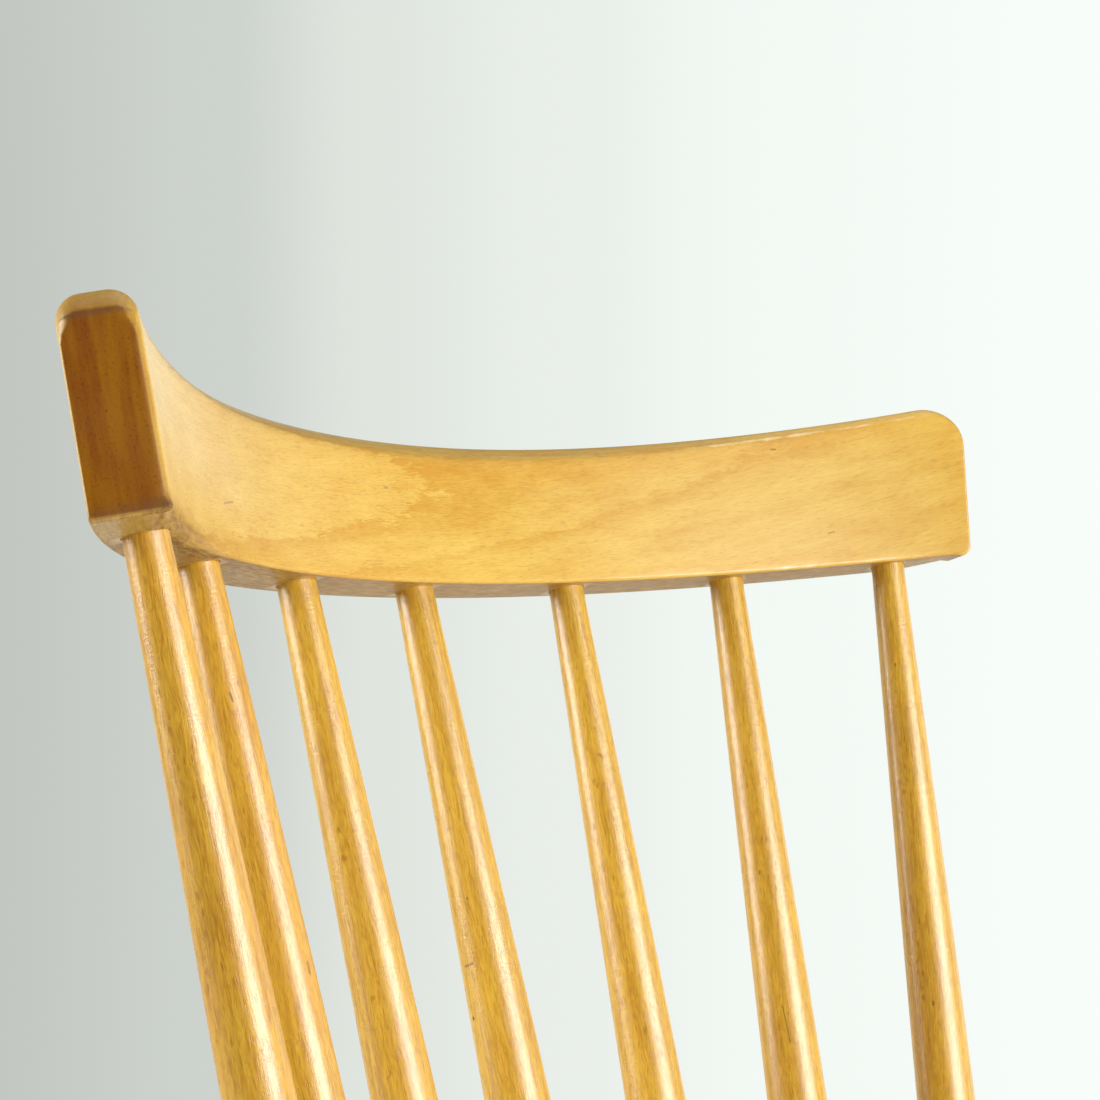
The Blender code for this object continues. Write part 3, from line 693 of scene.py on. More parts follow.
@dataclass(frozen=True)
class BeechFinish:
    """Beech under clear lacquer, with its figure, its end grain, its wear and some painted light and shade.
    """

    name: str
    early: Colour = (0.74, 0.497, 0.098)
    late: Colour = (0.61, 0.325, 0.028)
    fleck: Colour = (0.36, 0.145, 0.012)
    end_early: Colour = (0.50, 0.255, 0.035)
    end_late: Colour = (0.37, 0.160, 0.018)
    # A pale colour for worn arrises, which also paints highlights.
    rubbed: Colour = (0.93, 0.74, 0.42)
    # A dark colour for dirt, which also paints shade.
    grime: Colour = (0.15, 0.070, 0.022)
    ring_spacing: float = 0.0030
    ring_start: float = 0.0
    ring_end: float = 1.0
    streak_strength: float = 0.6
    mottle: float = 0.9
    chatter: float = 0.2
    ring_strength: float = 0.55
    fleck_strength: float = 0.40
    gloss: float = 0.40
    coat: float = 1.0
    coat_roughness: float = 0.27
    shine: float = 0.45
    roughcast: float = 0.35
    marks: tuple[Mark, ...] = ()

    def material(self, effects: Effects) -> bpy.types.Material:
        """Builds the finish.

        Args:
            effects: the shared groups.

        Returns:
            The material, which reads the grain, end_grain and patina attributes.
        """
        finish, desk, shader = new_finish(self.name)
        grain = desk.add("ShaderNodeAttribute", attribute_name="grain").outputs["Vector"]
        patina = desk.add("ShaderNodeAttribute", attribute_name="patina").outputs
        across = desk.add("ShaderNodeAttribute", attribute_name="end_grain").outputs["Fac"]
        wood = effects.figure.place(
            desk, grain=grain, early=rgba(self.early), late=rgba(self.late), fleck_colour=rgba(self.fleck),
            ring_spacing=self.ring_spacing, ring_start=self.ring_start, ring_end=self.ring_end,
            ring_strength=self.ring_strength, streak_strength=self.streak_strength,
            mottle=self.mottle, fleck_strength=self.fleck_strength, chatter=self.chatter,
        )
        streaks = desk.noise(desk.scaled(grain, (60.0, 260.0, 30.0)), 1.0, 3.0)
        depth = desk.math("MULTIPLY_ADD", wood["Tone"], 0.35, desk.ramp(streaks, 0.32, 0.68, 0.0, 0.85))
        soaked = desk.mix(depth, self.end_early, self.end_late)
        vessels = desk.ramp(desk.noise(grain, 1300.0, 3.0, 0.65), 0.55, 0.72, 0.0, 0.55)
        soaked = desk.mix(vessels, soaked, self.end_late, "MULTIPLY")
        turning = desk.times(desk.ramp(across, 0.40, 0.85), 0.45)
        sawn = desk.math("MULTIPLY_ADD", desk.ramp(across, 0.84, 0.96), 0.55, turning)
        colour = desk.mix(sawn, wood["Color"], soaked)
        place = desk.add("ShaderNodeTexCoord").outputs["Object"]
        for mark in self.marks:
            stained = effects.mark.place(desk, color=colour, place=place, start=mark.start, end=mark.end,
                                         width=mark.width, stain=rgba(mark.stain), strength=mark.strength)
            colour = stained["Color"]
        coat = desk.math("MULTIPLY_ADD", sawn, -0.9 * self.coat, self.coat)
        used = effects.wear.place(
            desk, color=colour, patina=patina["Vector"], amber=patina["Alpha"], grain=grain,
            rubbed=rgba(self.rubbed), grime=rgba(self.grime), gloss=self.gloss, coat=coat,
        )
        bump = desk.add("ShaderNodeBump")
        bump.inputs["Strength"].default_value = self.roughcast
        bump.inputs["Distance"].default_value = RELIEF_DEPTH
        desk.wire(bump.inputs["Height"], wood["Height"])
        desk.wire(shader["Base Color"], used["Color"])
        desk.wire(shader["Roughness"], used["Roughness"])
        desk.wire(shader["Normal"], bump.outputs["Normal"])
        desk.wire(shader["Coat Weight"], used["Coat"])
        shader["Specular IOR Level"].default_value = self.shine
        shader["Coat Roughness"].default_value = self.coat_roughness
        shader["Coat IOR"].default_value = COAT_IOR
        return finish


REDDISH: Colour = (0.20, 0.045, 0.012)

RAIL_MARKS = (
    Mark((-0.1290, 0.1850, 0.8165), (-0.1216, 0.1891, 0.8173), 0.0005, strength=0.42),
    Mark((-0.0226, 0.2193, 0.8271), (-0.0208, 0.2194, 0.8272), 0.0007, REDDISH, 0.35),
    Mark((0.1522, 0.1798, 0.8484), (0.1536, 0.1788, 0.8485), 0.0006, REDDISH, 0.6),
    Mark((0.1652, 0.1621, 0.8166), (0.1672, 0.1609, 0.8172), 0.0005, strength=0.40),
)

SPINDLE_MARKS = (
    Mark((-0.1356, 0.1757, 0.7622), (-0.1352, 0.1745, 0.7596), 0.0004),
    Mark((-0.1243, 0.1555, 0.6866), (-0.1241, 0.1545, 0.6838), 0.0007, strength=0.6),
    Mark((-0.0118, 0.1922, 0.6697), (-0.0121, 0.1889, 0.6710), 0.0006, REDDISH, 0.75),
    Mark((-0.0117, 0.1888, 0.6531), (-0.0117, 0.1888, 0.6531), 0.0009, (0.006, 0.004, 0.003), 1.0),
    Mark((0.1138, 0.1499, 0.6454), (0.1130, 0.1461, 0.6332), 0.0003, strength=0.7),
    Mark((0.1184, 0.1627, 0.6924), (0.1184, 0.1627, 0.6914), 0.0006, strength=0.6),
    Mark((0.1795, 0.1415, 0.7673), (0.1795, 0.1415, 0.7665), 0.0005, strength=0.6),
    Mark((0.1642, 0.1170, 0.6441), (0.1642, 0.1170, 0.6431), 0.0007, strength=0.6),
    Mark((-0.0113, 0.1919, 0.6918), (-0.0113, 0.1919, 0.6918), 0.0006, strength=0.7),
)


@dataclass(frozen=True)
class GlideFinish:
    """Dark moulded plastic, scuffed where it slides."""

    name: str = "glide_plastic"
    colour: Colour = (0.055, 0.036, 0.024)
    scuff: Colour = (0.17, 0.14, 0.11)

    def material(self) -> bpy.types.Material:
        """Builds the finish on Object coordinates."""
        finish, desk, shader = new_finish(self.name)
        place = desk.add("ShaderNodeTexCoord").outputs["Object"]
        scuffs = desk.noise(place, 900.0, 4.0, 0.65)
        low = desk.ramp(desk.split(place)[2], 0.0, 0.003, 1.0, 0.25)
        mask = desk.times(desk.ramp(scuffs, 0.48, 0.66), low)
        desk.wire(shader["Base Color"], desk.mix(mask, self.colour, self.scuff))
        desk.wire(shader["Roughness"], desk.ramp(scuffs, 0.3, 0.7, 0.38, 0.62))
        return finish


# The chair


@dataclass
class Piece:
    """A finished piece and the CAD node that it stands for."""

    item: bpy.types.Object
    node: str
    slot: Slot

    def dress(self, material: bpy.types.Material) -> None:
        """Gives the piece its finish, smooths it and sets it in the frame."""
        self.item.data.materials.clear()
        self.item.data.materials.append(material)
        make_active(self.item)
        bpy.ops.object.shade_smooth_by_angle(angle=SMOOTH_ANGLE)
        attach(self.item, "root")
        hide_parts(self.node)
        LOG.info("%s stands for %s: %d faces", self.item.name, self.node, len(self.item.data.polygons))


@dataclass
class Seat:
    """The solid seat: a rounded shield, saddled for the sitter."""

    height: float = 0.445
    thickness: float = 0.038
    depth: float = 0.410
    front_width: float = 0.440
    back_width: float = 0.385
    front_squareness: float = 4.5
    back_squareness: float = 2.8
    edge_round: float = 0.008
    under_round: float = 0.016
    saddle_width: float = 0.345
    saddle_length: float = 0.300
    saddle_depth: float = 0.009
    saddle_forward: float = 0.022
    saddle_rim: float = math.radians(60)
    rim_softness: float = 0.0007
    joints: tuple[float, ...] = (-0.138, -0.049, 0.037, 0.116)
    points: int = 192

    def outline(self) -> list[tuple[float, float]]:
        """The seat from above."""
        mean = (self.front_width + self.back_width) / 2
        points = []
        for i in range(self.points):
            turn = math.tau * (i + 0.5) / self.points
            squareness = self.back_squareness if math.sin(turn) > 0 else self.front_squareness
            reach = math.copysign(abs(math.sin(turn)) ** (2 / squareness), math.sin(turn))
            spread = math.copysign(abs(math.cos(turn)) ** (2 / squareness), math.cos(turn))
            width = mean + (mean - self.front_width) * reach
            points.append((spread * width / 2, reach * self.depth / 2))
        return points

    def top_at(self, x: float, y: float) -> float:
        """The height of the saddled top, with a soft rim around the hollow."""
        tall = self.saddle_depth / (1 - math.cos(self.saddle_rim))
        reach = math.sin(self.saddle_rim)
        across = x / (self.saddle_width / 2) * reach
        along = (y + self.saddle_forward) / (self.saddle_length / 2) * reach
        inside = 1 - across * across - along * along
        low = tall * (math.sqrt(max(0.0, inside)) - math.cos(self.saddle_rim))
        soft = self.rim_softness
        return self.height - (low + math.sqrt(low * low + soft * soft)) / 2

    def build(self, shift: float, holes: Sequence[Hole]) -> Piece:
        """Builds the seat and cuts its holes.

        Args:
            shift: how far the chair stands moved along Y in the frame.
            holes: the holes for spindles and legs, in the frame.

        Returns:
            The seat.
        """
        outline = self.outline()
        bottom = self.height - self.thickness
        under = [(self.under_round, bottom, share) for share in evenly(0.02, 1.0, 12)]
        quarter = evenly(0.0, math.pi / 2, 8)
        low = [(self.under_round * (1 - math.sin(t)), bottom + self.under_round * (1 - math.cos(t)), 1.0)
               for t in quarter[1:]]
        high = [(self.edge_round * (1 - math.cos(t)), self.height - self.edge_round * (1 - math.sin(t)), 1.0)
                for t in quarter]
        top = [(self.edge_round, self.height, share) for share in evenly(1.0, 0.004, 46)[1:]]
        rings = []
        for inset, z, share in under + low + high + top:
            ring = []
            for x, y in outline:
                wide = x * (1 - inset / (self.front_width / 2)) * share
                deep = y * (1 - inset / (self.depth / 2)) * share
                tall = min(z, self.top_at(wide, deep)) if z > self.height - 0.0001 else z
                ring.append(Vector((wide, deep + shift, tall)))
            rings.append(ring)
        item = loft("saddled_seat", rings)
        cut_planes(item, Vector((-1, 0, 0)), self.joints)
        bore_holes(item, holes)
        return Piece(item, "seat", Slot.BEECH)

    def blank(self, shift: float) -> StavedBlank:
        """The seat's timber: staves that run from front to back."""
        boards = Matrix.Translation((0.0, shift, self.height)) @ Matrix.Rotation(math.pi / 2, 4, "Z")
        return StavedBlank(boards, (0.0, 0.0), joints=self.joints)

    def wear_at(self, shift: float, feet: Sequence[Vector]) -> Callable[[Vector, Vector], Patina]:
        """The seat's wear.

        Args:
            shift: how far the chair stands moved along Y in the frame.
            feet: where the spindles stand.

        Returns:
            The patina by place and normal: a front worn pale, dirt at the spindles, a bare underside.
        """
        def worn(place: Vector, normal: Vector) -> Patina:
            """The patina at a place."""
            from_front = place.y - shift + self.depth / 2
            rubbed = 0.86 * smooth_step(0.016, 0.006, from_front) * smooth_step(0.35, 0.75, normal.z)
            rubbed *= bell(place.x, 0.13)
            dirt = 0.35 * max(bell((place - foot).length, 0.013) for foot in feet)
            under = smooth_step(0.3, 0.9, -normal.z)
            kept = smooth_step(0.008, 0.0, self.height - place.z) * smooth_step(0.6, 0.9, normal.z)
            return rubbed, min(1.0, dirt + 0.12 * under), 0.7 * under, 0.28 * kept

        return worn


@dataclass
class Back:
    """The leaning back: where its spindles stand in the seat and under the crest rail."""

    seat: Seat
    shift: float
    lean: float = math.radians(14.8)
    length: float = 0.360
    row_inset: float = 0.035
    row_margin: float = 0.0404
    seat_row_radius: float = 0.277
    seat_row_step: float = math.radians(11.1)
    crest_row_step: float = math.radians(13.7)
    crest_radius: float = 0.2905
    crest_overhang: float = 0.035
    crest_half_angle: float = MIDDLE_SPINDLE * crest_row_step + crest_overhang / crest_radius
    crest_end_drop: float = 0.0096
    crest_drift: tuple[float, ...] = (0.0009, -0.0011, -0.0008, -0.0042, 0.0005, 0.0030, -0.0008)
    seat_drift: tuple[float, ...] = (0.0020, -0.0017, -0.0006, 0.0005, 0.0026, -0.0004, 0.0002)

    def frame(self) -> Matrix:
        """The leaning frame: its origin under the middle of the crest rail, +Z up along the lean."""
        foot = Vector((0.0, self.seat.depth / 2 - self.row_inset + self.shift, self.seat.height))
        rise = Vector((0.0, math.sin(self.lean), math.cos(self.lean))) * self.length
        return Matrix.Translation(foot + rise) @ Matrix.Rotation(-self.lean, 4, "X")

    def foot(self, index: int) -> Vector:
        """Where a spindle's axis meets the seat's top."""
        turn = (index - MIDDLE_SPINDLE) * self.seat_row_step
        forward = self.seat_row_radius * (1 - math.cos(turn))
        y = self.seat.depth / 2 - self.row_inset - forward + self.shift
        x = self.seat_row_radius * math.sin(turn) + self.seat_drift[index]
        return Vector((x, y, self.seat.height))

    def head(self, index: int) -> Vector:
        """Where a spindle's axis meets the crest rail's underside."""
        turn = (index - MIDDLE_SPINDLE) * self.crest_row_step
        share = turn / self.crest_half_angle
        x = self.crest_radius * math.sin(turn) + self.crest_drift[index]
        y = -self.crest_radius * (1 - math.cos(turn))
        return self.frame() @ Vector((x, y, -self.crest_end_drop * share * share))


@dataclass
class Spindle:
    """A turned spindle, thin under the crest rail, with a belly above the seat."""

    index: int
    foot: Vector
    head: Vector
    crest_diameter: float = 0.0125
    belly_diameter: float = 0.0222
    seat_diameter: float = 0.0150
    belly_height: float = 0.105
    taper_power: int = 5
    crest_tenon: float = 0.028
    seat_tenon: float = 0.025
    collar: float = 0.004
    girth: float = 1.0
    amber: float = 0.0
    steps: int = 48

    def axis(self) -> Axis:
        """The spindle's axis, from the seat's top upwards."""
        return Axis(self.foot, (self.head - self.foot).normalized())

    def length(self) -> float:
        """The free length between seat and crest rail."""
        return (self.head - self.foot).length

    def diameter(self, height: float) -> float:
        """The diameter at a height above the seat."""
        swell = self.belly_diameter - self.crest_diameter
        if height >= self.belly_height:
            top = self.length() - self.collar
            share = (top - height) / (top - self.belly_height)
            power = self.taper_power
            return self.crest_diameter + swell * (power * share - share ** power) / (power - 1)
        share = (self.belly_height - height) / (self.belly_height - self.collar)
        return self.belly_diameter - (self.belly_diameter - self.seat_diameter) * share * share

    def holes(self) -> tuple[Hole, Hole]:
        """The spindle's holes in the seat and in the crest rail."""
        up = self.axis().direction
        low = Hole(self.foot, -up, self.seat_diameter + 2 * CLEARANCE, self.seat_tenon + CLEARANCE)
        high = Hole(self.head, up, self.crest_diameter + 2 * CLEARANCE, self.crest_tenon + CLEARANCE)
        return low, high

    def wear_at(self, place: Vector, normal: Vector) -> Patina:
        """How the spindle is marked at a place: darker at both joints, with a painted contact shadow under
        the crest rail.
        """
        along = (place - self.foot).dot(self.axis().direction)
        # Painted contact shadow under the crest rail; darker at the seat too.
        grime_and_shade_amount = 0.5 * bell(self.length() - along, 0.0035) + 0.5 * bell(along, 0.003)
        return 0.0, grime_and_shade_amount, 0.0, self.amber

    def build(self) -> Piece:
        """Turns the spindle."""
        top = self.length() - self.collar
        heights = evenly(self.collar, self.belly_height, 16) + evenly(self.belly_height, top, 48)[1:]
        low = chamfered_end(self.seat_diameter / 2, -self.seat_tenon, 1)
        high = chamfered_end(self.crest_diameter / 2, self.length() + self.crest_tenon, -1)
        body = [(self.diameter(height) / 2 * self.girth, height) for height in heights]
        item = self.axis().turned(f"turned_spindle_{self.index + 1}", low + body + high[::-1], self.steps)
        return Piece(item, f"spindle_{self.index + 1}", Slot.BEECH)


@dataclass
class CrestRail:
    """The bent top rail, sawn flat with eased arrises, bent to an arc and bored for the spindles."""

    back: Back
    thickness: float = 0.021
    height: float = 0.0510
    end_rise: float = 0.0006
    tilt: float = 0.0055
    left_hump: float = 0.0008
    left_corner: float = 0.0175
    left_sweep: float = math.radians(62)
    left_low_corner: float = 0.0016
    right_corner: float = 0.0150
    right_low_corner: float = 0.0045
    right_slant: float = math.radians(10)
    right_extra: float = 0.0020
    top_ease: float = 0.0068
    right_top_ease: float = 0.0034
    back_top_ease: float = 0.0036
    dome_ease: tuple[float, float] = (0.0080, 0.0072)
    dome_length: float = 0.030
    right_under_lift: float = 0.0026
    edge_ease: float = 0.0012
    end_ease: float = 0.0008
    left_end_ease: tuple[float, float] = (0.0030, 0.0009)
    worn_ease: float = 0.0048
    worn_from_end: float = 0.040
    worn_length: float = 0.046
    end_zone: float = 0.006
    column: float = 0.0025
    corner_steps: int = 12
    ease_steps: int = 8

    def half_length(self) -> float:
        """Half the length of the flat rail."""
        return self.back.crest_radius * self.back.crest_half_angle

    def columns(self) -> list[float]:
        """Evenly spaced places along the flat rail, one of them in its middle."""
        count = int(self.half_length() / self.column)
        return [self.column * i for i in range(-count, count + 1)]

    def low_edge(self, x: float) -> float:
        """The lower edge at a place along the flat rail."""
        share = x / self.half_length()
        return -self.back.crest_end_drop * share * share

    def high_edge(self, x: float) -> float:
        """The upper edge at a place along the flat rail."""
        share = x / self.half_length()
        hump = self.left_hump * bell(share + 0.80, 0.14)
        return self.height + self.end_rise * share * share - self.tilt * x + hump

    def corner(self, side: Side, radius: float, sweep: float, upward: int) -> list[EdgePoint]:
        """A corner's arc, from the long edge to the end.

        Args:
            side: the rail's end.
            radius: the corner's radius.
            sweep: how far the arc turns.
            upward: 1 for an upper corner and -1 for a lower one.

        Returns:
            For each point its place, the way inwards and how far it counts as top.
        """
        half = self.half_length()
        slant = 0.0
        if side is Side.RIGHT:
            slant = self.right_slant
            half += self.right_extra
        edge = self.high_edge(side.value * half) if upward > 0 else self.low_edge(half)
        middle = Vector((0.0, 0.0, edge - upward * radius))
        reach = Vector((math.sin(sweep), 0.0, upward * math.cos(sweep))) * radius
        lean = math.tan(slant) * (middle.z + reach.z - self.height / 2)
        middle.x = side.value * (half + lean - reach.x)
        arc = []
        for turn in evenly(0.0, sweep, self.corner_steps):
            out = Vector((side.value * math.sin(turn), 0.0, upward * math.cos(turn)))
            top = 0.0
            if upward > 0:
                top = 1 - smooth_step(0.10, 1.0, turn / sweep) * (1.0 if side is Side.RIGHT else 0.35)
            arc.append((middle + out * radius, -out, top))
        return arc

    def outline(self) -> list[EdgePoint]:
        """The flat rail's outline from the front, anticlockwise from the low left.

        Returns:
            For each point its place, the way inwards and how far it counts as top, from 0 to 1.
        """
        square = math.pi / 2
        low_left = self.corner(Side.LEFT, self.left_low_corner, square, -1)
        low_right = self.corner(Side.RIGHT, self.right_low_corner, square - self.right_slant, -1)
        high_left = self.corner(Side.LEFT, self.left_corner, self.left_sweep, 1)
        high_right = self.corner(Side.RIGHT, self.right_corner, square + self.right_slant, 1)
        gap = self.column / 2

        def run(edge: Callable[[float], float], ends: Sequence[Vector], upward: int) -> list[EdgePoint]:
            """A long edge between its corners."""
            inward = Vector((0.0, 0.0, -upward))
            inner = [x for x in self.columns() if ends[0].x + gap < x < ends[1].x - gap]
            return [(Vector((x, 0.0, edge(x))), inward, max(0.0, upward)) for x in inner]

        def end(low: EdgePoint, high: EdgePoint) -> list[EdgePoint]:
            """An end of the rail between its corners, closely divided under the upper one."""
            tall = high[0].z - low[0].z
            count = max(2, round(tall / self.column))
            shares = [i / count for i in range(1, count)]
            shares += [1 - short / tall for short in (0.0016, 0.0009, 0.0004)]
            tops = [high[2] * smooth_step(0.86, 1.0, share) for share in shares]
            return [(low[0].lerp(high[0], share), low[1], top) for share, top in zip(shares, tops)]

        points = low_left[::-1]
        points += run(self.low_edge, (low_left[0][0], low_right[0][0]), -1)
        points += low_right
        points += end(low_right[-1], high_right[-1])
        points += high_right[::-1]
        points += run(self.high_edge, (high_left[0][0], high_right[0][0]), 1)[::-1]
        points += high_left
        points += end(low_left[-1], high_left[-1])[::-1]
        return points

    def worn_at(self, x: float) -> float:
        """How far the lower front edge is worn away at a place along the flat rail, from 0 to 1."""
        return bell(x + self.half_length() - self.worn_from_end, self.worn_length)

    def top_ease_at(self, x: float) -> float:
        """How far the upper front arris is eased at a place along the flat rail: least at the right."""
        return self.top_ease + (self.right_top_ease - self.top_ease) * smooth_step(0.02, 0.19, x)

    def ease(self, place: Vector, top: float, front: bool, rough: random.Random) -> float:
        """How far the arris is eased at a place on the outline: more on top, and more where it is worn."""
        on_end = abs(place.x) > self.half_length() - self.end_zone
        plain = self.end_ease if on_end else self.edge_ease
        from_left = place.x + self.half_length()
        if from_left < self.end_zone:
            rise = smooth_step(0.0, 0.003, place.z - self.low_edge(place.x))
            plain += (self.left_end_ease[0 if front else 1] - plain) * rise
        dome = smooth_step(self.dome_length, 0.008, from_left)
        if not front:
            full = self.back_top_ease + (self.dome_ease[1] - self.back_top_ease) * dome
            return plain + (full - plain) * top
        full = self.top_ease_at(place.x)
        full += (self.dome_ease[0] - full) * dome
        ease = plain + (full - plain) * top
        if top == 0.0:
            above = place.z - self.low_edge(place.x)
            worn = self.worn_ease * self.worn_at(place.x) * rough.uniform(0.7, 1.15)
            ease += worn * smooth_step(0.005 if on_end else 0.009, 0.001, above)
            ease = min(ease, 0.9 * max(from_left, above, self.left_low_corner))
        return ease

    def under_lift_at(self, place: Vector) -> float:
        """How far the underside rises towards the back at a place on the outline: only at the right end."""
        near_end = smooth_step(0.034, 0.0, self.half_length() - place.x)
        return self.right_under_lift * near_end * smooth_step(0.014, 0.0, place.z - self.low_edge(place.x))

    def build(self, holes: Sequence[Hole]) -> Piece:
        """Builds the rail.

        Args:
            holes: the spindles' holes, in the frame.

        Returns:
            The rail.
        """
        outline = self.outline()
        crisp = [(1.0, 0.0), (0.91, 0.010), (0.82, 0.060), (0.66, 0.18), (0.46, 0.36), (0.28, 0.56),
                 (0.13, 0.75), (0.04, 0.90), (0.0, 1.0)]
        turns = evenly(0.0, math.pi / 2, self.ease_steps)
        full = [(1 - math.sin(turn), 1 - math.cos(turn)) for turn in turns]
        steps = list(zip(crisp, full))
        rings = []
        for front in (True, False):
            rough = random.Random(ARRIS_SEED)
            eases = [self.ease(place, top, front, rough) for place, _, top in outline]
            for chamfer, quarter in steps if front else reversed(steps):
                ring = []
                for (place, inward, top), ease in zip(outline, eases):
                    flat = top * smooth_step(-0.22, -0.10, place.x) if front else 0.0
                    inset = quarter[0] + (chamfer[0] - quarter[0]) * flat
                    depth = quarter[1] + (chamfer[1] - quarter[1]) * flat
                    y = (-1 if front else 1) * (self.thickness / 2 - ease * depth)
                    lift = self.under_lift_at(place) * (y / self.thickness + 0.5)
                    ring.append(place + inward * ease * inset + Vector((0.0, y, lift)))
                rings.append(ring)
        item = loft("bent_crest_rail", rings)
        cut_planes(item, Vector((1, 0, 0)), self.columns())
        cut_planes(item, UP, evenly(-0.004, self.height - 0.006, 18))
        cut_planes(item, Vector((0, 1, 0)), evenly(-0.004, 0.004, 2))
        bend = item.modifiers.new("bend", "SIMPLE_DEFORM")
        bend.deform_method = "BEND"
        bend.deform_axis = "Z"
        bend.angle = -2 * self.back.crest_half_angle
        apply_step(item, bend)
        lean = self.back.frame()
        item.location = lean.translation
        item.rotation_euler = lean.to_euler()
        settle(item)
        bore_holes(item, holes)
        return Piece(item, "crest_rail", Slot.BEECH)

    def blank(self) -> BentBlank:
        """The rail's timber: flat-sawn, with the tree's middle in front of it."""
        slope = (0.0148, -0.0716)
        return BentBlank(self.back.frame(), (0.13693, -0.0354), 0.4, slope, self.back.crest_radius)

    def wear_at(self, place: Vector, normal: Vector) -> Patina:
        """How the rail is marked at a place: pale arrises with a painted highlight, dirt and painted shade,
        bare wood and amber.
        """
        blank = self.blank()
        flat = blank.lay_flat(blank.place.inverted() @ place)
        half = self.half_length()
        depth = self.thickness / 2 + flat.y
        below_top = self.high_edge(flat.x) - flat.z
        above_low = flat.z - self.low_edge(flat.x)
        arris = self.top_ease_at(flat.x)
        # Pale lines along the front arrises of the right half: worn lacquer and a painted highlight.
        rubbed = max(0.0, 1 - math.hypot(depth, below_top - arris * 0.9) / 0.0035)
        rubbed *= smooth_step(0.07, 0.15, flat.x)
        low_line = max(0.0, 1 - math.hypot(depth, above_low - self.edge_ease * 0.6) / 0.0035)
        rubbed = max(rubbed, 0.94 * low_line * smooth_step(0.06, 0.16, flat.x))
        # Darker in a thin line along the left end's crease and over its dome.
        crease = below_top - self.left_corner * (1 - math.cos(self.left_sweep))
        grime_and_shade_amount = 0.9 * bell(flat.x + half, 0.0016) * bell(crease - 0.0004, 0.0007)
        on_dome = smooth_step(0.020, 0.006, flat.x + half) * smooth_step(0.0005, -0.0015, crease)
        grime_and_shade_amount += 0.22 * on_dome
        # Painted shade on the lower corner of the left end.
        grime_and_shade_amount += 0.55 * bell(flat.x + half, 0.0022) * smooth_step(0.0035, 0.0012, above_low)
        # Darker along the top strip and towards the left end.
        on_top = smooth_step(arris * 1.5, arris * 0.7, below_top) * smooth_step(0.25, 0.12, flat.x)
        grime_and_shade_amount += 0.31 * on_top * smooth_step(half, half - 0.05, abs(flat.x))
        grime_and_shade_amount += 0.09 * smooth_step(-0.04, -0.12, flat.x)
        # On the worn lower front bevel: dirt in its cracks and painted shade where it faces down.
        worn = self.worn_at(flat.x)
        grime_and_shade_amount += 0.9 * worn * bell(above_low - 0.001, 0.0050) * bell(depth, 0.006)
        under = smooth_step(0.75, 0.98, -normal.z)
        rim = bell(below_top - arris - 0.003, 0.006) * smooth_step(-0.10, 0.05, flat.x)
        amber = max(rim, bell(half - flat.x, 0.010), 0.5 * bell(above_low - 0.002, 0.004), on_dome)
        # Painted shade on the underside, weaker near the left end.
        underside_shade = 0.7 - 0.25 * smooth_step(0.050, 0.020, flat.x + half)
        return rubbed, min(1.0, grime_and_shade_amount + underside_shade * under), 0.4 * under, 0.55 * amber


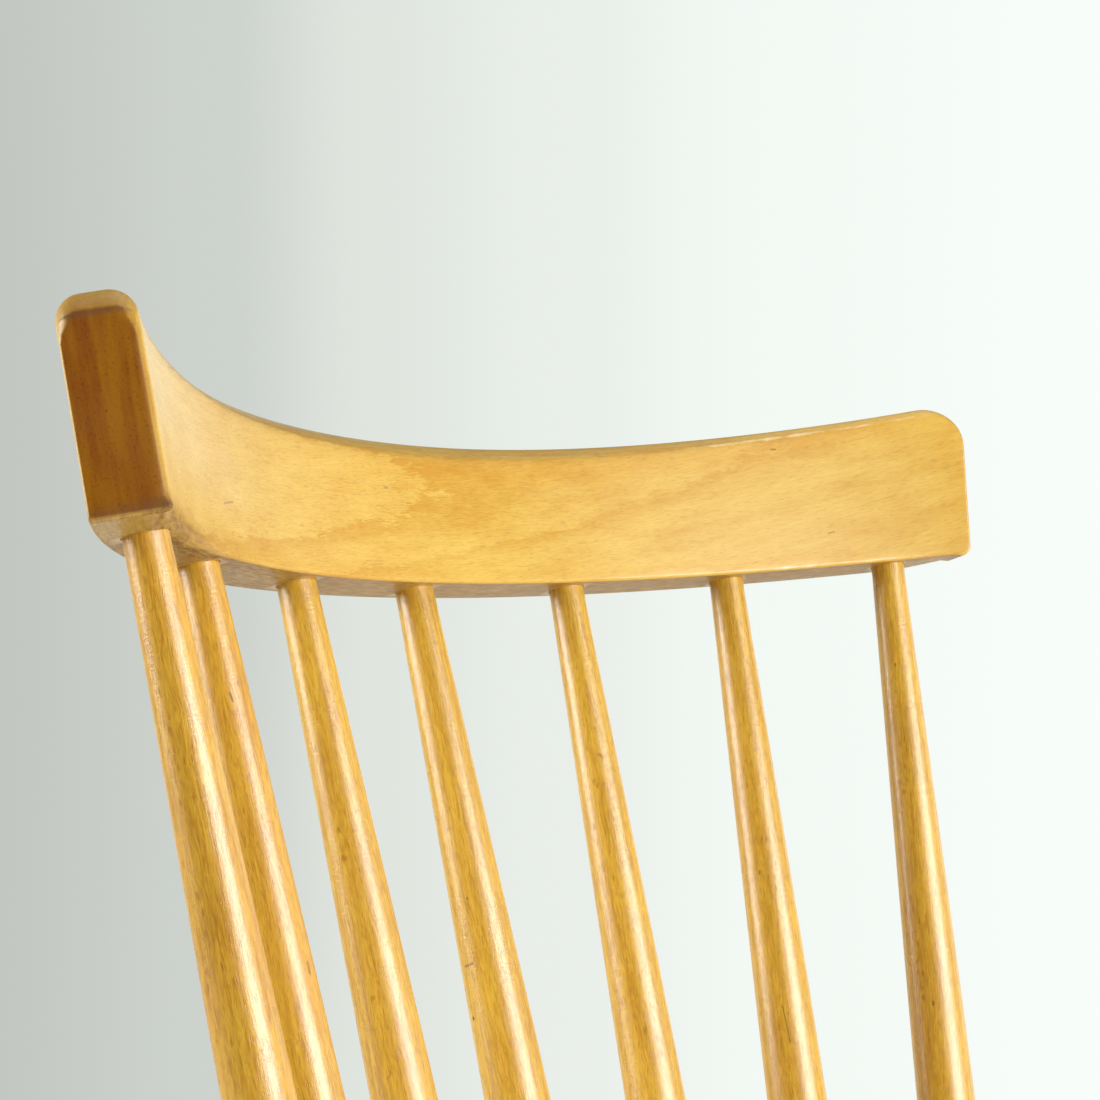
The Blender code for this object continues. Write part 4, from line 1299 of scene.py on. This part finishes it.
@dataclass
class Leg:
    """A splayed leg, tenoned through the seat, with its wedge and its glide."""

    seat: Seat
    end: End
    side: Side
    inset: float
    side_inset: float
    rake: float
    splay: float
    foot_diameter: float = 0.022
    swell_diameter: float = 0.036
    neck: float = 0.130
    taper_power: float = 1.6
    tenon_diameter: float = 0.026
    collar: float = 0.008
    proud: float = 0.00015
    wedge_depth: float = 0.025
    wedge_thickness: tuple[float, float] = (0.0012, 0.0032)
    glide_diameter: float = 0.019
    glide_thickness: float = 0.0045
    glide_round: float = 0.0018
    nail_diameter: float = 0.003
    nail_length: float = 0.012
    steps: int = 48
    shift: float = 0.0

    def corner(self) -> str:
        """The corner's name in the CAD nodes."""
        return f"{self.end.name.lower()}_{self.side.name.lower()}"

    def ends(self) -> tuple[Vector, Vector]:
        """Where the axis meets the floor and the seat's flat top."""
        width = self.seat.front_width if self.end is End.FRONT else self.seat.back_width
        x = width / 2 - self.side_inset
        y = self.end.value * (self.seat.depth / 2 - self.inset)
        floor = Vector((self.side.value * (x + self.splay), y + self.end.value * self.rake + self.shift, 0.0))
        return floor, Vector((self.side.value * x, y + self.shift, self.seat.height))

    def axis(self) -> Axis:
        """The leg's axis, from the floor upwards."""
        floor, top = self.ends()
        return Axis(floor, (top - floor).normalized())

    def at_height(self, height: float) -> Vector:
        """The axis at a height above the floor."""
        axis = self.axis()
        return axis.start + axis.direction * (height / axis.direction.z)

    def tenon_start(self) -> float:
        """How far up the axis the plain tenon starts."""
        floor, top = self.ends()
        return (top - floor).length - self.seat.thickness / self.axis().direction.z - self.collar

    def diameter(self, along: float) -> float:
        """The diameter at a distance up the axis."""
        swell = self.tenon_start() - self.neck
        if along <= swell:
            taper = (max(0.0, swell - along) / swell) ** self.taper_power
            return self.swell_diameter - (self.swell_diameter - self.foot_diameter) * min(1.0, taper)
        share = min(1.0, (along - swell) / self.neck)
        return self.swell_diameter - (self.swell_diameter - self.tenon_diameter) * share * share

    def hole(self) -> Hole:
        """The leg's hole through the seat."""
        depth = self.seat.thickness / self.axis().direction.z + self.collar
        top = self.ends()[1]
        diameter = self.tenon_diameter + 2 * CLEARANCE
        return Hole(top, -self.axis().direction, diameter, depth, overrun=self.tenon_diameter)

    def slid_to(self, ring: Ring, level: Callable[[Vector], float]) -> Ring:
        """Slides the points of a ring along the axis until each lies at its level."""
        way = self.axis().direction
        for _ in range(4):
            ring = [point + way * ((level(point) - point.z) / way.z) for point in ring]
        return ring

    def flush(self, point: Vector) -> float:
        """The height of the saddle at a point, where the tenon's end is carved flush."""
        return self.seat.top_at(point.x, point.y - self.shift) + self.proud

    def build(self) -> Piece:
        """Turns the leg, saws its foot level and carves its top flush with the saddle."""
        axis = self.axis()
        neck = self.tenon_start()
        sole = self.glide_thickness + CLEARANCE
        foot = self.foot_diameter / 2

        def sawn(radius: float, rise: float) -> Ring:
            """A ring on the sole's plane or a little above it."""
            return self.slid_to(axis.circle(0.0, radius, self.steps), lambda point: sole + rise)

        def carved(radius: float, drop: float) -> Ring:
            """A ring on the saddle or a little under it."""
            top = axis.circle(neck, radius, self.steps)
            return self.slid_to(top, lambda point: self.flush(point) - drop)

        start = (sole + 0.006) / axis.direction.z
        heights = evenly(start, neck - self.neck, 26) + evenly(neck - self.neck, neck, 16)[1:]
        tenon = self.tenon_diameter / 2
        rings = [sawn(foot * share, 0.0) for share in (0.05, 0.4, 0.75)]
        rings += [sawn(foot - 0.0008, 0.0), sawn(foot, 0.0008)]
        rings += [axis.circle(along, self.diameter(along) / 2, self.steps) for along in heights]
        rings += [carved(tenon, 0.012), carved(tenon, 0.0003), carved(tenon - 0.0003, 0.0)]
        rings += [carved(tenon * share, 0.0) for share in (0.8, 0.6, 0.4, 0.2, 0.04)]
        return Piece(loft(f"splayed_leg_{self.corner()}", rings), f"leg_{self.corner()}", Slot.BEECH)

    def wear_at(self, place: Vector, normal: Vector) -> Patina:
        """How worn the leg is at a place: its foot is scuffed and carries dirt."""
        low = bell(place.z, 0.030)
        return 0.0, 0.30 * low, 0.35 * low, 0.0

    def build_wedge(self) -> Piece:
        """Builds the wedge, a hair prouder than the tenon that it spreads."""
        axis = Axis(self.ends()[1], self.axis().direction)
        place = axis.frame()
        half_width = self.tenon_diameter / 2 - CLEARANCE
        tip, butt = self.wedge_thickness

        def block(along: float, thickness: float, shrink: float = 0.0) -> Ring:
            """A long flat loop across the tenon."""
            half = thickness / 2
            xs = evenly(-half_width + shrink, half_width - shrink, 11)
            low = [Vector((x, -half + shrink, along)) for x in xs]
            high = [Vector((x, half - shrink, along)) for x in reversed(xs)]
            return [place @ point for point in low + high]

        def carved(shrink: float, drop: float) -> Ring:
            """A loop on the saddle, a little proud."""
            return self.slid_to(block(0.0, butt, shrink), lambda point: self.flush(point) + 0.00012 - drop)

        rings = [block(-self.wedge_depth, tip, 0.0003), block(-self.wedge_depth + 0.001, tip)]
        rings += [carved(0.0, 0.0004), carved(0.0002, 0.0), carved(0.0012, 0.0)]
        return Piece(loft(f"oak_wedge_{self.corner()}", rings), f"wedge_{self.corner()}", Slot.WEDGE)

    def turn_glide(self) -> bpy.types.Object:
        """Turns the pattern of the glides at the origin: a domed disc with a nail up into the foot."""
        disc = self.glide_diameter / 2
        nail = self.nail_diameter / 2
        ease = self.glide_round
        quarter = evenly(0.0, math.pi / 2, 6)
        rim = [(disc - ease * (1 - math.sin(t)), ease * (1 - math.cos(t))) for t in quarter]
        tip = self.glide_thickness + self.nail_length
        upper = [(disc, self.glide_thickness - 0.0005), (disc - 0.0005, self.glide_thickness)]
        shank = [(nail, self.glide_thickness), (nail, tip - nail), (nail * 0.1, tip)]
        profile = [(0.0006, 0.0)] + rim + upper + shank
        return Axis(Vector((0.0, 0.0, 0.0)), UP).turned("glide_pattern", profile, 36)

    def place_glide(self, pattern: bpy.types.Object) -> Piece:
        """Copies the pattern of the glides under this leg."""
        item = pattern.copy()
        item.data = pattern.data.copy()
        item.name = item.data.name = f"floor_glide_{self.corner()}"
        bpy.context.scene.collection.objects.link(item)
        place = self.at_height(self.glide_thickness)
        item.location = (place.x, place.y, 0.0)
        settle(item)
        return Piece(item, f"glide_{self.corner()}", Slot.GLIDE)


@dataclass
class Stretcher:
    """A turned stretcher between two round pieces, with a belly in its middle."""

    node: str
    start: Vector
    end: Vector
    carrier_radius: float
    tenon_diameter: float = 0.0145
    belly_diameter: float = 0.0245
    reach: float = 0.004
    collar: float = 0.005
    steps: int = 40

    def axis(self) -> Axis:
        """The stretcher's axis, from the start of its first tenon."""
        way = (self.end - self.start).normalized()
        return Axis(self.start - way * self.reach, way)

    def length(self) -> float:
        """The whole length with both tenons."""
        return (self.end - self.start).length + 2 * self.reach

    def wear_at(self, place: Vector, normal: Vector) -> Patina:
        """How worn the stretcher is at a place: heels have worn the top of its middle."""
        aside = (place - self.start.lerp(self.end, 0.5)).dot(self.axis().direction)
        top = smooth_step(0.5, 0.95, normal.z) * bell(aside, 0.09)
        return 0.78 * top, 0.06, 0.2 * top, 0.0

    def build(self) -> Piece:
        """Turns the stretcher."""
        shoulder = self.reach + self.carrier_radius + self.collar
        half = self.length() / 2
        swell = (self.belly_diameter - self.tenon_diameter) / 2
        body = []
        for along in evenly(shoulder, self.length() - shoulder, 40):
            share = (along - half) / (half - shoulder)
            body.append((self.belly_diameter / 2 - swell * share * share, along))
        low = chamfered_end(self.tenon_diameter / 2, 0.0, 1)
        high = chamfered_end(self.tenon_diameter / 2, self.length(), -1)
        item = self.axis().turned(f"turned_{self.node}", low + body + high[::-1], self.steps)
        return Piece(item, self.node, Slot.BEECH)


# The studio


@dataclass(frozen=True)
class Softbox:
    """A soft lamp that looks at the middle of the crest rail."""

    name: str
    bearing: float
    elevation: float
    distance: float
    size: tuple[float, float]
    watts: float
    colour: Colour = (1.0, 1.0, 1.0)

    def hang(self, target: Vector) -> None:
        """Adds the lamp, pointed at the target."""
        data = bpy.data.lights.new(self.name, "AREA")
        data.shape = "RECTANGLE"
        data.size, data.size_y = self.size
        data.energy = self.watts
        data.color = self.colour
        lamp = bpy.data.objects.new(self.name, data)
        bpy.context.scene.collection.objects.link(lamp)
        turn, rise = math.radians(self.bearing), math.radians(self.elevation)
        away = Vector((math.cos(turn) * math.cos(rise), math.sin(turn) * math.cos(rise), math.sin(rise)))
        lamp.location = target + away * self.distance
        lamp.rotation_euler = (-away).to_track_quat("-Z", "Y").to_euler()
        lamp.visible_camera = False


@dataclass
class Studio:
    """The pale studio: camera, lamps, floor and the backdrop's tones."""

    target: Vector
    camera_offset: Vector = field(default_factory=lambda: Vector((-0.6128, -0.5371, -0.0109)))
    camera_right: Vector = field(default_factory=lambda: Vector((0.61803, -0.78615, 0.00311)))
    camera_down: Vector = field(default_factory=lambda: Vector((0.02595, 0.01645, -0.99953)))
    lens: float = 78.19
    sensor: float = 36.0
    floor_radius: float = 2.4
    floor_colour: Colour = (0.80, 0.81, 0.80)
    ambient: tuple[float, float] = (0.08, 0.58)
    ambient_way: Vector = field(default_factory=lambda: Vector((0.985, -0.174, 0.0)))
    dark_room: float = 0.06
    sheen: float = 1.15
    backdrop_way: Vector = field(default_factory=lambda: Vector((0.906, 0.423, 0.0)))
    softboxes: tuple[Softbox, ...] = (
        Softbox("front_window", 274.0, 6.0, 1.5, (1.0, 0.75), 23.5, (1.0, 0.985, 0.96)),
        Softbox("side_window", 135.0, 18.0, 2.2, (1.4, 1.9), 66.0, (1.0, 0.985, 0.96)),
        Softbox("ceiling", 20.0, 72.0, 2.0, (1.6, 1.6), 5.0),
    )
    backdrop: tuple[tuple[float, Colour], ...] = (
        (0.00, (0.545, 0.570, 0.540)),
        (0.20, (0.610, 0.645, 0.605)),
        (0.34, (0.745, 0.785, 0.735)),
        (0.50, (0.815, 0.855, 0.815)),
        (0.70, (0.895, 0.945, 0.900)),
        (1.00, (0.940, 0.985, 0.950)),
    )

    def place_camera(self) -> None:
        """Adds the camera at the photograph's view."""
        data = bpy.data.cameras.new("photo_camera")
        data.lens = self.lens
        data.sensor_width = self.sensor
        data.sensor_fit = "HORIZONTAL"
        data.clip_start = 0.01
        camera = bpy.data.objects.new("photo_camera", data)
        bpy.context.scene.collection.objects.link(camera)
        right = self.camera_right.normalized()
        up = -(self.camera_down - right * self.camera_down.dot(right)).normalized()
        turn = Matrix((right, up, right.cross(up))).transposed()
        camera.matrix_world = Matrix.Translation(self.target + self.camera_offset) @ turn.to_4x4()
        bpy.context.scene.camera = camera

    def lay_floor(self) -> None:
        """Adds the pale floor, which fades into the backdrop at its rim."""
        bpy.ops.object.select_all(action="DESELECT")
        bpy.ops.mesh.primitive_circle_add(vertices=96, radius=self.floor_radius, fill_type="NGON")
        floor = bpy.context.active_object
        floor.name = "studio_floor"
        material, desk, shader = new_finish("studio_floor")
        place = desk.add("ShaderNodeTexCoord").outputs["Object"]
        shade = desk.noise(place, 3.0, 2.0)
        paler = tuple(part * 1.04 for part in self.floor_colour)
        desk.wire(shader["Base Color"], desk.mix(shade, self.floor_colour, paler))
        shader["Roughness"].default_value = 0.7
        shader["Specular IOR Level"].default_value = 0.2
        fade = desk.ramp(desk.length(place), self.floor_radius * 0.45, self.floor_radius * 0.98, 1.0, 0.0)
        desk.wire(shader["Alpha"], fade)
        floor.data.materials.append(material)

    def tone_backdrop(self) -> None:
        """Sets the world: the backdrop's tones where they are seen or mirrored, plain light elsewhere."""
        world = bpy.data.worlds.new("studio")
        bpy.context.scene.world = world
        world.use_nodes = True
        tree = world.node_tree
        desk = NodeDesk(tree)
        way = desk.add("ShaderNodeTexCoord").outputs["Generated"]
        aside = desk.dot(way, self.camera_right)
        half_view = self.sensor / 2 / self.lens
        share = desk.math("MULTIPLY_ADD", aside, 0.5 / half_view, 0.5, clamp=True)
        tones = desk.add("ShaderNodeValToRGB")
        tones.color_ramp.interpolation = "EASE"
        for place, colour in self.backdrop[1:-1]:
            tones.color_ramp.elements.new(place).color = rgba(colour)
        tones.color_ramp.elements[0].color = rgba(self.backdrop[0][1])
        tones.color_ramp.elements[-1].color = rgba(self.backdrop[-1][1])
        desk.wire(tones.inputs["Fac"], share)
        ahead = desk.dot(way, self.backdrop_way)
        rays = desk.add("ShaderNodeLightPath").outputs
        behind = desk.ramp(ahead, 0.05, 0.60, self.dark_room, 1.0)
        height = desk.split(way)[2]
        level = desk.times(behind, desk.ramp(height, 0.18, 0.42, self.sheen, 0.15))
        level = desk.times(level, desk.less(1.0, rays["Is Camera Ray"]))
        level = desk.plus(level, rays["Is Camera Ray"])
        seen = tree.nodes["Background"]
        desk.wire(seen.inputs["Color"], tones.outputs["Color"])
        desk.wire(seen.inputs["Strength"], level)
        plain = desk.add("ShaderNodeBackground")
        plain.inputs["Color"].default_value = (1.0, 1.0, 1.0, 1.0)
        facing = desk.dot(way, self.ambient_way)
        desk.wire(plain.inputs["Strength"], desk.ramp(facing, -0.35, 0.05, *self.ambient))
        shown = desk.math("MAXIMUM", rays["Is Camera Ray"], rays["Is Glossy Ray"])
        shown = desk.math("MAXIMUM", shown, rays["Is Transmission Ray"])
        mixed = desk.add("ShaderNodeMixShader")
        desk.wire(mixed.inputs[0], shown)
        desk.wire(mixed.inputs[1], plain.outputs[0])
        desk.wire(mixed.inputs[2], seen.outputs[0])
        desk.wire(tree.nodes["World Output"].inputs["Surface"], mixed.outputs[0])

    def build(self) -> None:
        """Builds the studio."""
        bpy.context.scene.view_settings.view_transform = "Standard"
        self.place_camera()
        self.lay_floor()
        self.tone_backdrop()
        for softbox in self.softboxes:
            softbox.hang(self.target)


# All together


def chair_shift(leg: Leg) -> float:
    """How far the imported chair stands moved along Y, read from a glide of the frame."""
    low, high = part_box(f"glide_{leg.corner()}")
    return (low.y + high.y) / 2 - leg.at_height(leg.glide_thickness).y


def main() -> None:
    """Builds the chair, dresses it and sets the studio."""
    logging.basicConfig(level=logging.INFO, format="%(name)s: %(message)s")
    draw = random.Random(TIMBER_SEED)
    effects = Effects(beech_figure(), hand_wear(), small_mark())

    def beech(name: str, **settings: object) -> bpy.types.Material:
        """A finish on beech with its own settings."""
        return BeechFinish(name, **settings).material(effects)

    rail_wood = beech(
        "lacquered_beech_rail", end_early=(0.33, 0.129, 0.001), end_late=(0.232, 0.063, 0.001),
        ring_spacing=0.0024, ring_start=0.1256, ring_end=0.1280, ring_strength=0.75, mottle=1.0,
        fleck_strength=0.45, coat=0.6, shine=0.30, marks=RAIL_MARKS,
    )
    turned = {"early": (0.765, 0.480, 0.053), "late": (0.40, 0.165, 0.004), "streak_strength": 1.1,
              "mottle": 0.55, "coat": 0.35, "coat_roughness": 0.31, "roughcast": 0.50, "chatter": 0.7}
    worn_dull = {"gloss": 0.55, "coat": 0.12, "coat_roughness": 0.45, "shine": 0.15}
    spindle_wood = beech("lacquered_beech_spindles", **turned, ring_strength=0.20, fleck_strength=0.9,
                         gloss=0.29, shine=0.85, marks=SPINDLE_MARKS)
    seat_wood = beech("lacquered_beech_seat", **worn_dull)
    leg_wood = beech("lacquered_beech_legs", **turned, ring_strength=0.30, gloss=0.50, shine=0.20)
    wedge_wood = beech("dark_wedge_wood", early=(0.42, 0.20, 0.05), late=(0.30, 0.13, 0.03),
                       end_early=(0.22, 0.085, 0.012), end_late=(0.15, 0.050, 0.006), **worn_dull)
    glide_plastic = GlideFinish().material()

    seat = Seat()
    row = Back(seat, 0.0)
    half_row = row.seat_row_radius * math.sin(MIDDLE_SPINDLE * row.seat_row_step)
    seat.back_width = 2 * (half_row + row.row_margin)
    front_stance = {"inset": 0.085, "side_inset": 0.070, "rake": 0.068, "splay": 0.043}
    back_stance = {"inset": 0.127, "side_inset": 0.0845, "rake": 0.108, "splay": 0.060}
    legs = {}
    for side in Side:
        legs[End.FRONT, side] = Leg(seat, End.FRONT, side, **front_stance)
        legs[End.BACK, side] = Leg(seat, End.BACK, side, **back_stance)
    shift = chair_shift(legs[End.FRONT, Side.LEFT])
    for leg in legs.values():
        leg.shift = shift
    back = Back(seat, shift)
    girths = (1.0, 1.0, 1.015, 1.05, 1.0, 1.02, 1.0)
    ambers = (0.60, 0.65, 0.25, 0.10, 0.0, 0.10, 0.05)
    spindles = []
    for i, (girth, amber) in enumerate(zip(girths, ambers)):
        spindles.append(Spindle(i, back.foot(i), back.head(i), girth=girth, amber=amber))

    def unworn(place: Vector, normal: Vector) -> Patina:
        """No wear."""
        return 0.0, 0.0, 0.0, 0.0

    def finish(piece: Piece, blank: Blank, material: bpy.types.Material,
               worn: Callable[[Vector, Vector], Patina] = unworn) -> None:
        """Writes a piece's timber and wear on it and dresses it."""
        blank.write_on(piece.item)
        write_patina(piece.item, worn)
        piece.dress(material)

    def some_pith() -> tuple[float, float]:
        """A place of the tree's middle well outside a thin blank."""
        turn = draw.uniform(-2.2, 2.2)
        far = draw.uniform(0.07, 0.10)
        return far * math.cos(turn), far * math.sin(turn)

    def timber(axis: Axis) -> Blank:
        """A turned piece's timber, from anywhere up its tree."""
        return Blank(along_axis(axis), some_pith(), draw.uniform(0.0, 2.0))

    rail = CrestRail(back)
    finish(rail.build([spindle.holes()[1] for spindle in spindles]), rail.blank(), rail_wood, rail.wear_at)
    for spindle in spindles:
        finish(spindle.build(), timber(spindle.axis()), spindle_wood, spindle.wear_at)

    holes = [spindle.holes()[0] for spindle in spindles] + [leg.hole() for leg in legs.values()]
    feet = [spindle.foot for spindle in spindles]
    finish(seat.build(shift, holes), seat.blank(shift), seat_wood, seat.wear_at(shift, feet))

    glide = legs[End.FRONT, Side.LEFT].turn_glide()
    for leg in legs.values():
        finish(leg.build(), timber(leg.axis()), leg_wood, leg.wear_at)
        finish(leg.build_wedge(), Blank(along_axis(leg.axis()), some_pith(), 0.3), wedge_wood)
        leg.place_glide(glide).dress(glide_plastic)
    bpy.data.objects.remove(glide, do_unlink=True)

    rungs = []
    for side in Side:
        front, rear = legs[End.FRONT, side], legs[End.BACK, side]
        start, end = front.at_height(STRETCHER_HEIGHT), rear.at_height(STRETCHER_HEIGHT)
        carrier = front.diameter(STRETCHER_HEIGHT / front.axis().direction.z) / 2
        rungs.append(Stretcher(f"side_stretcher_{side.name.lower()}", start, end, carrier))
    middles = [rung.start.lerp(rung.end, 0.5) for rung in rungs]
    rungs.append(Stretcher("cross_stretcher", *middles, Stretcher.belly_diameter / 2))
    for rung in rungs:
        finish(rung.build(), timber(rung.axis()), leg_wood, rung.wear_at)

    Studio(back.frame().translation).build()


if __name__ == "__main__":
    main()
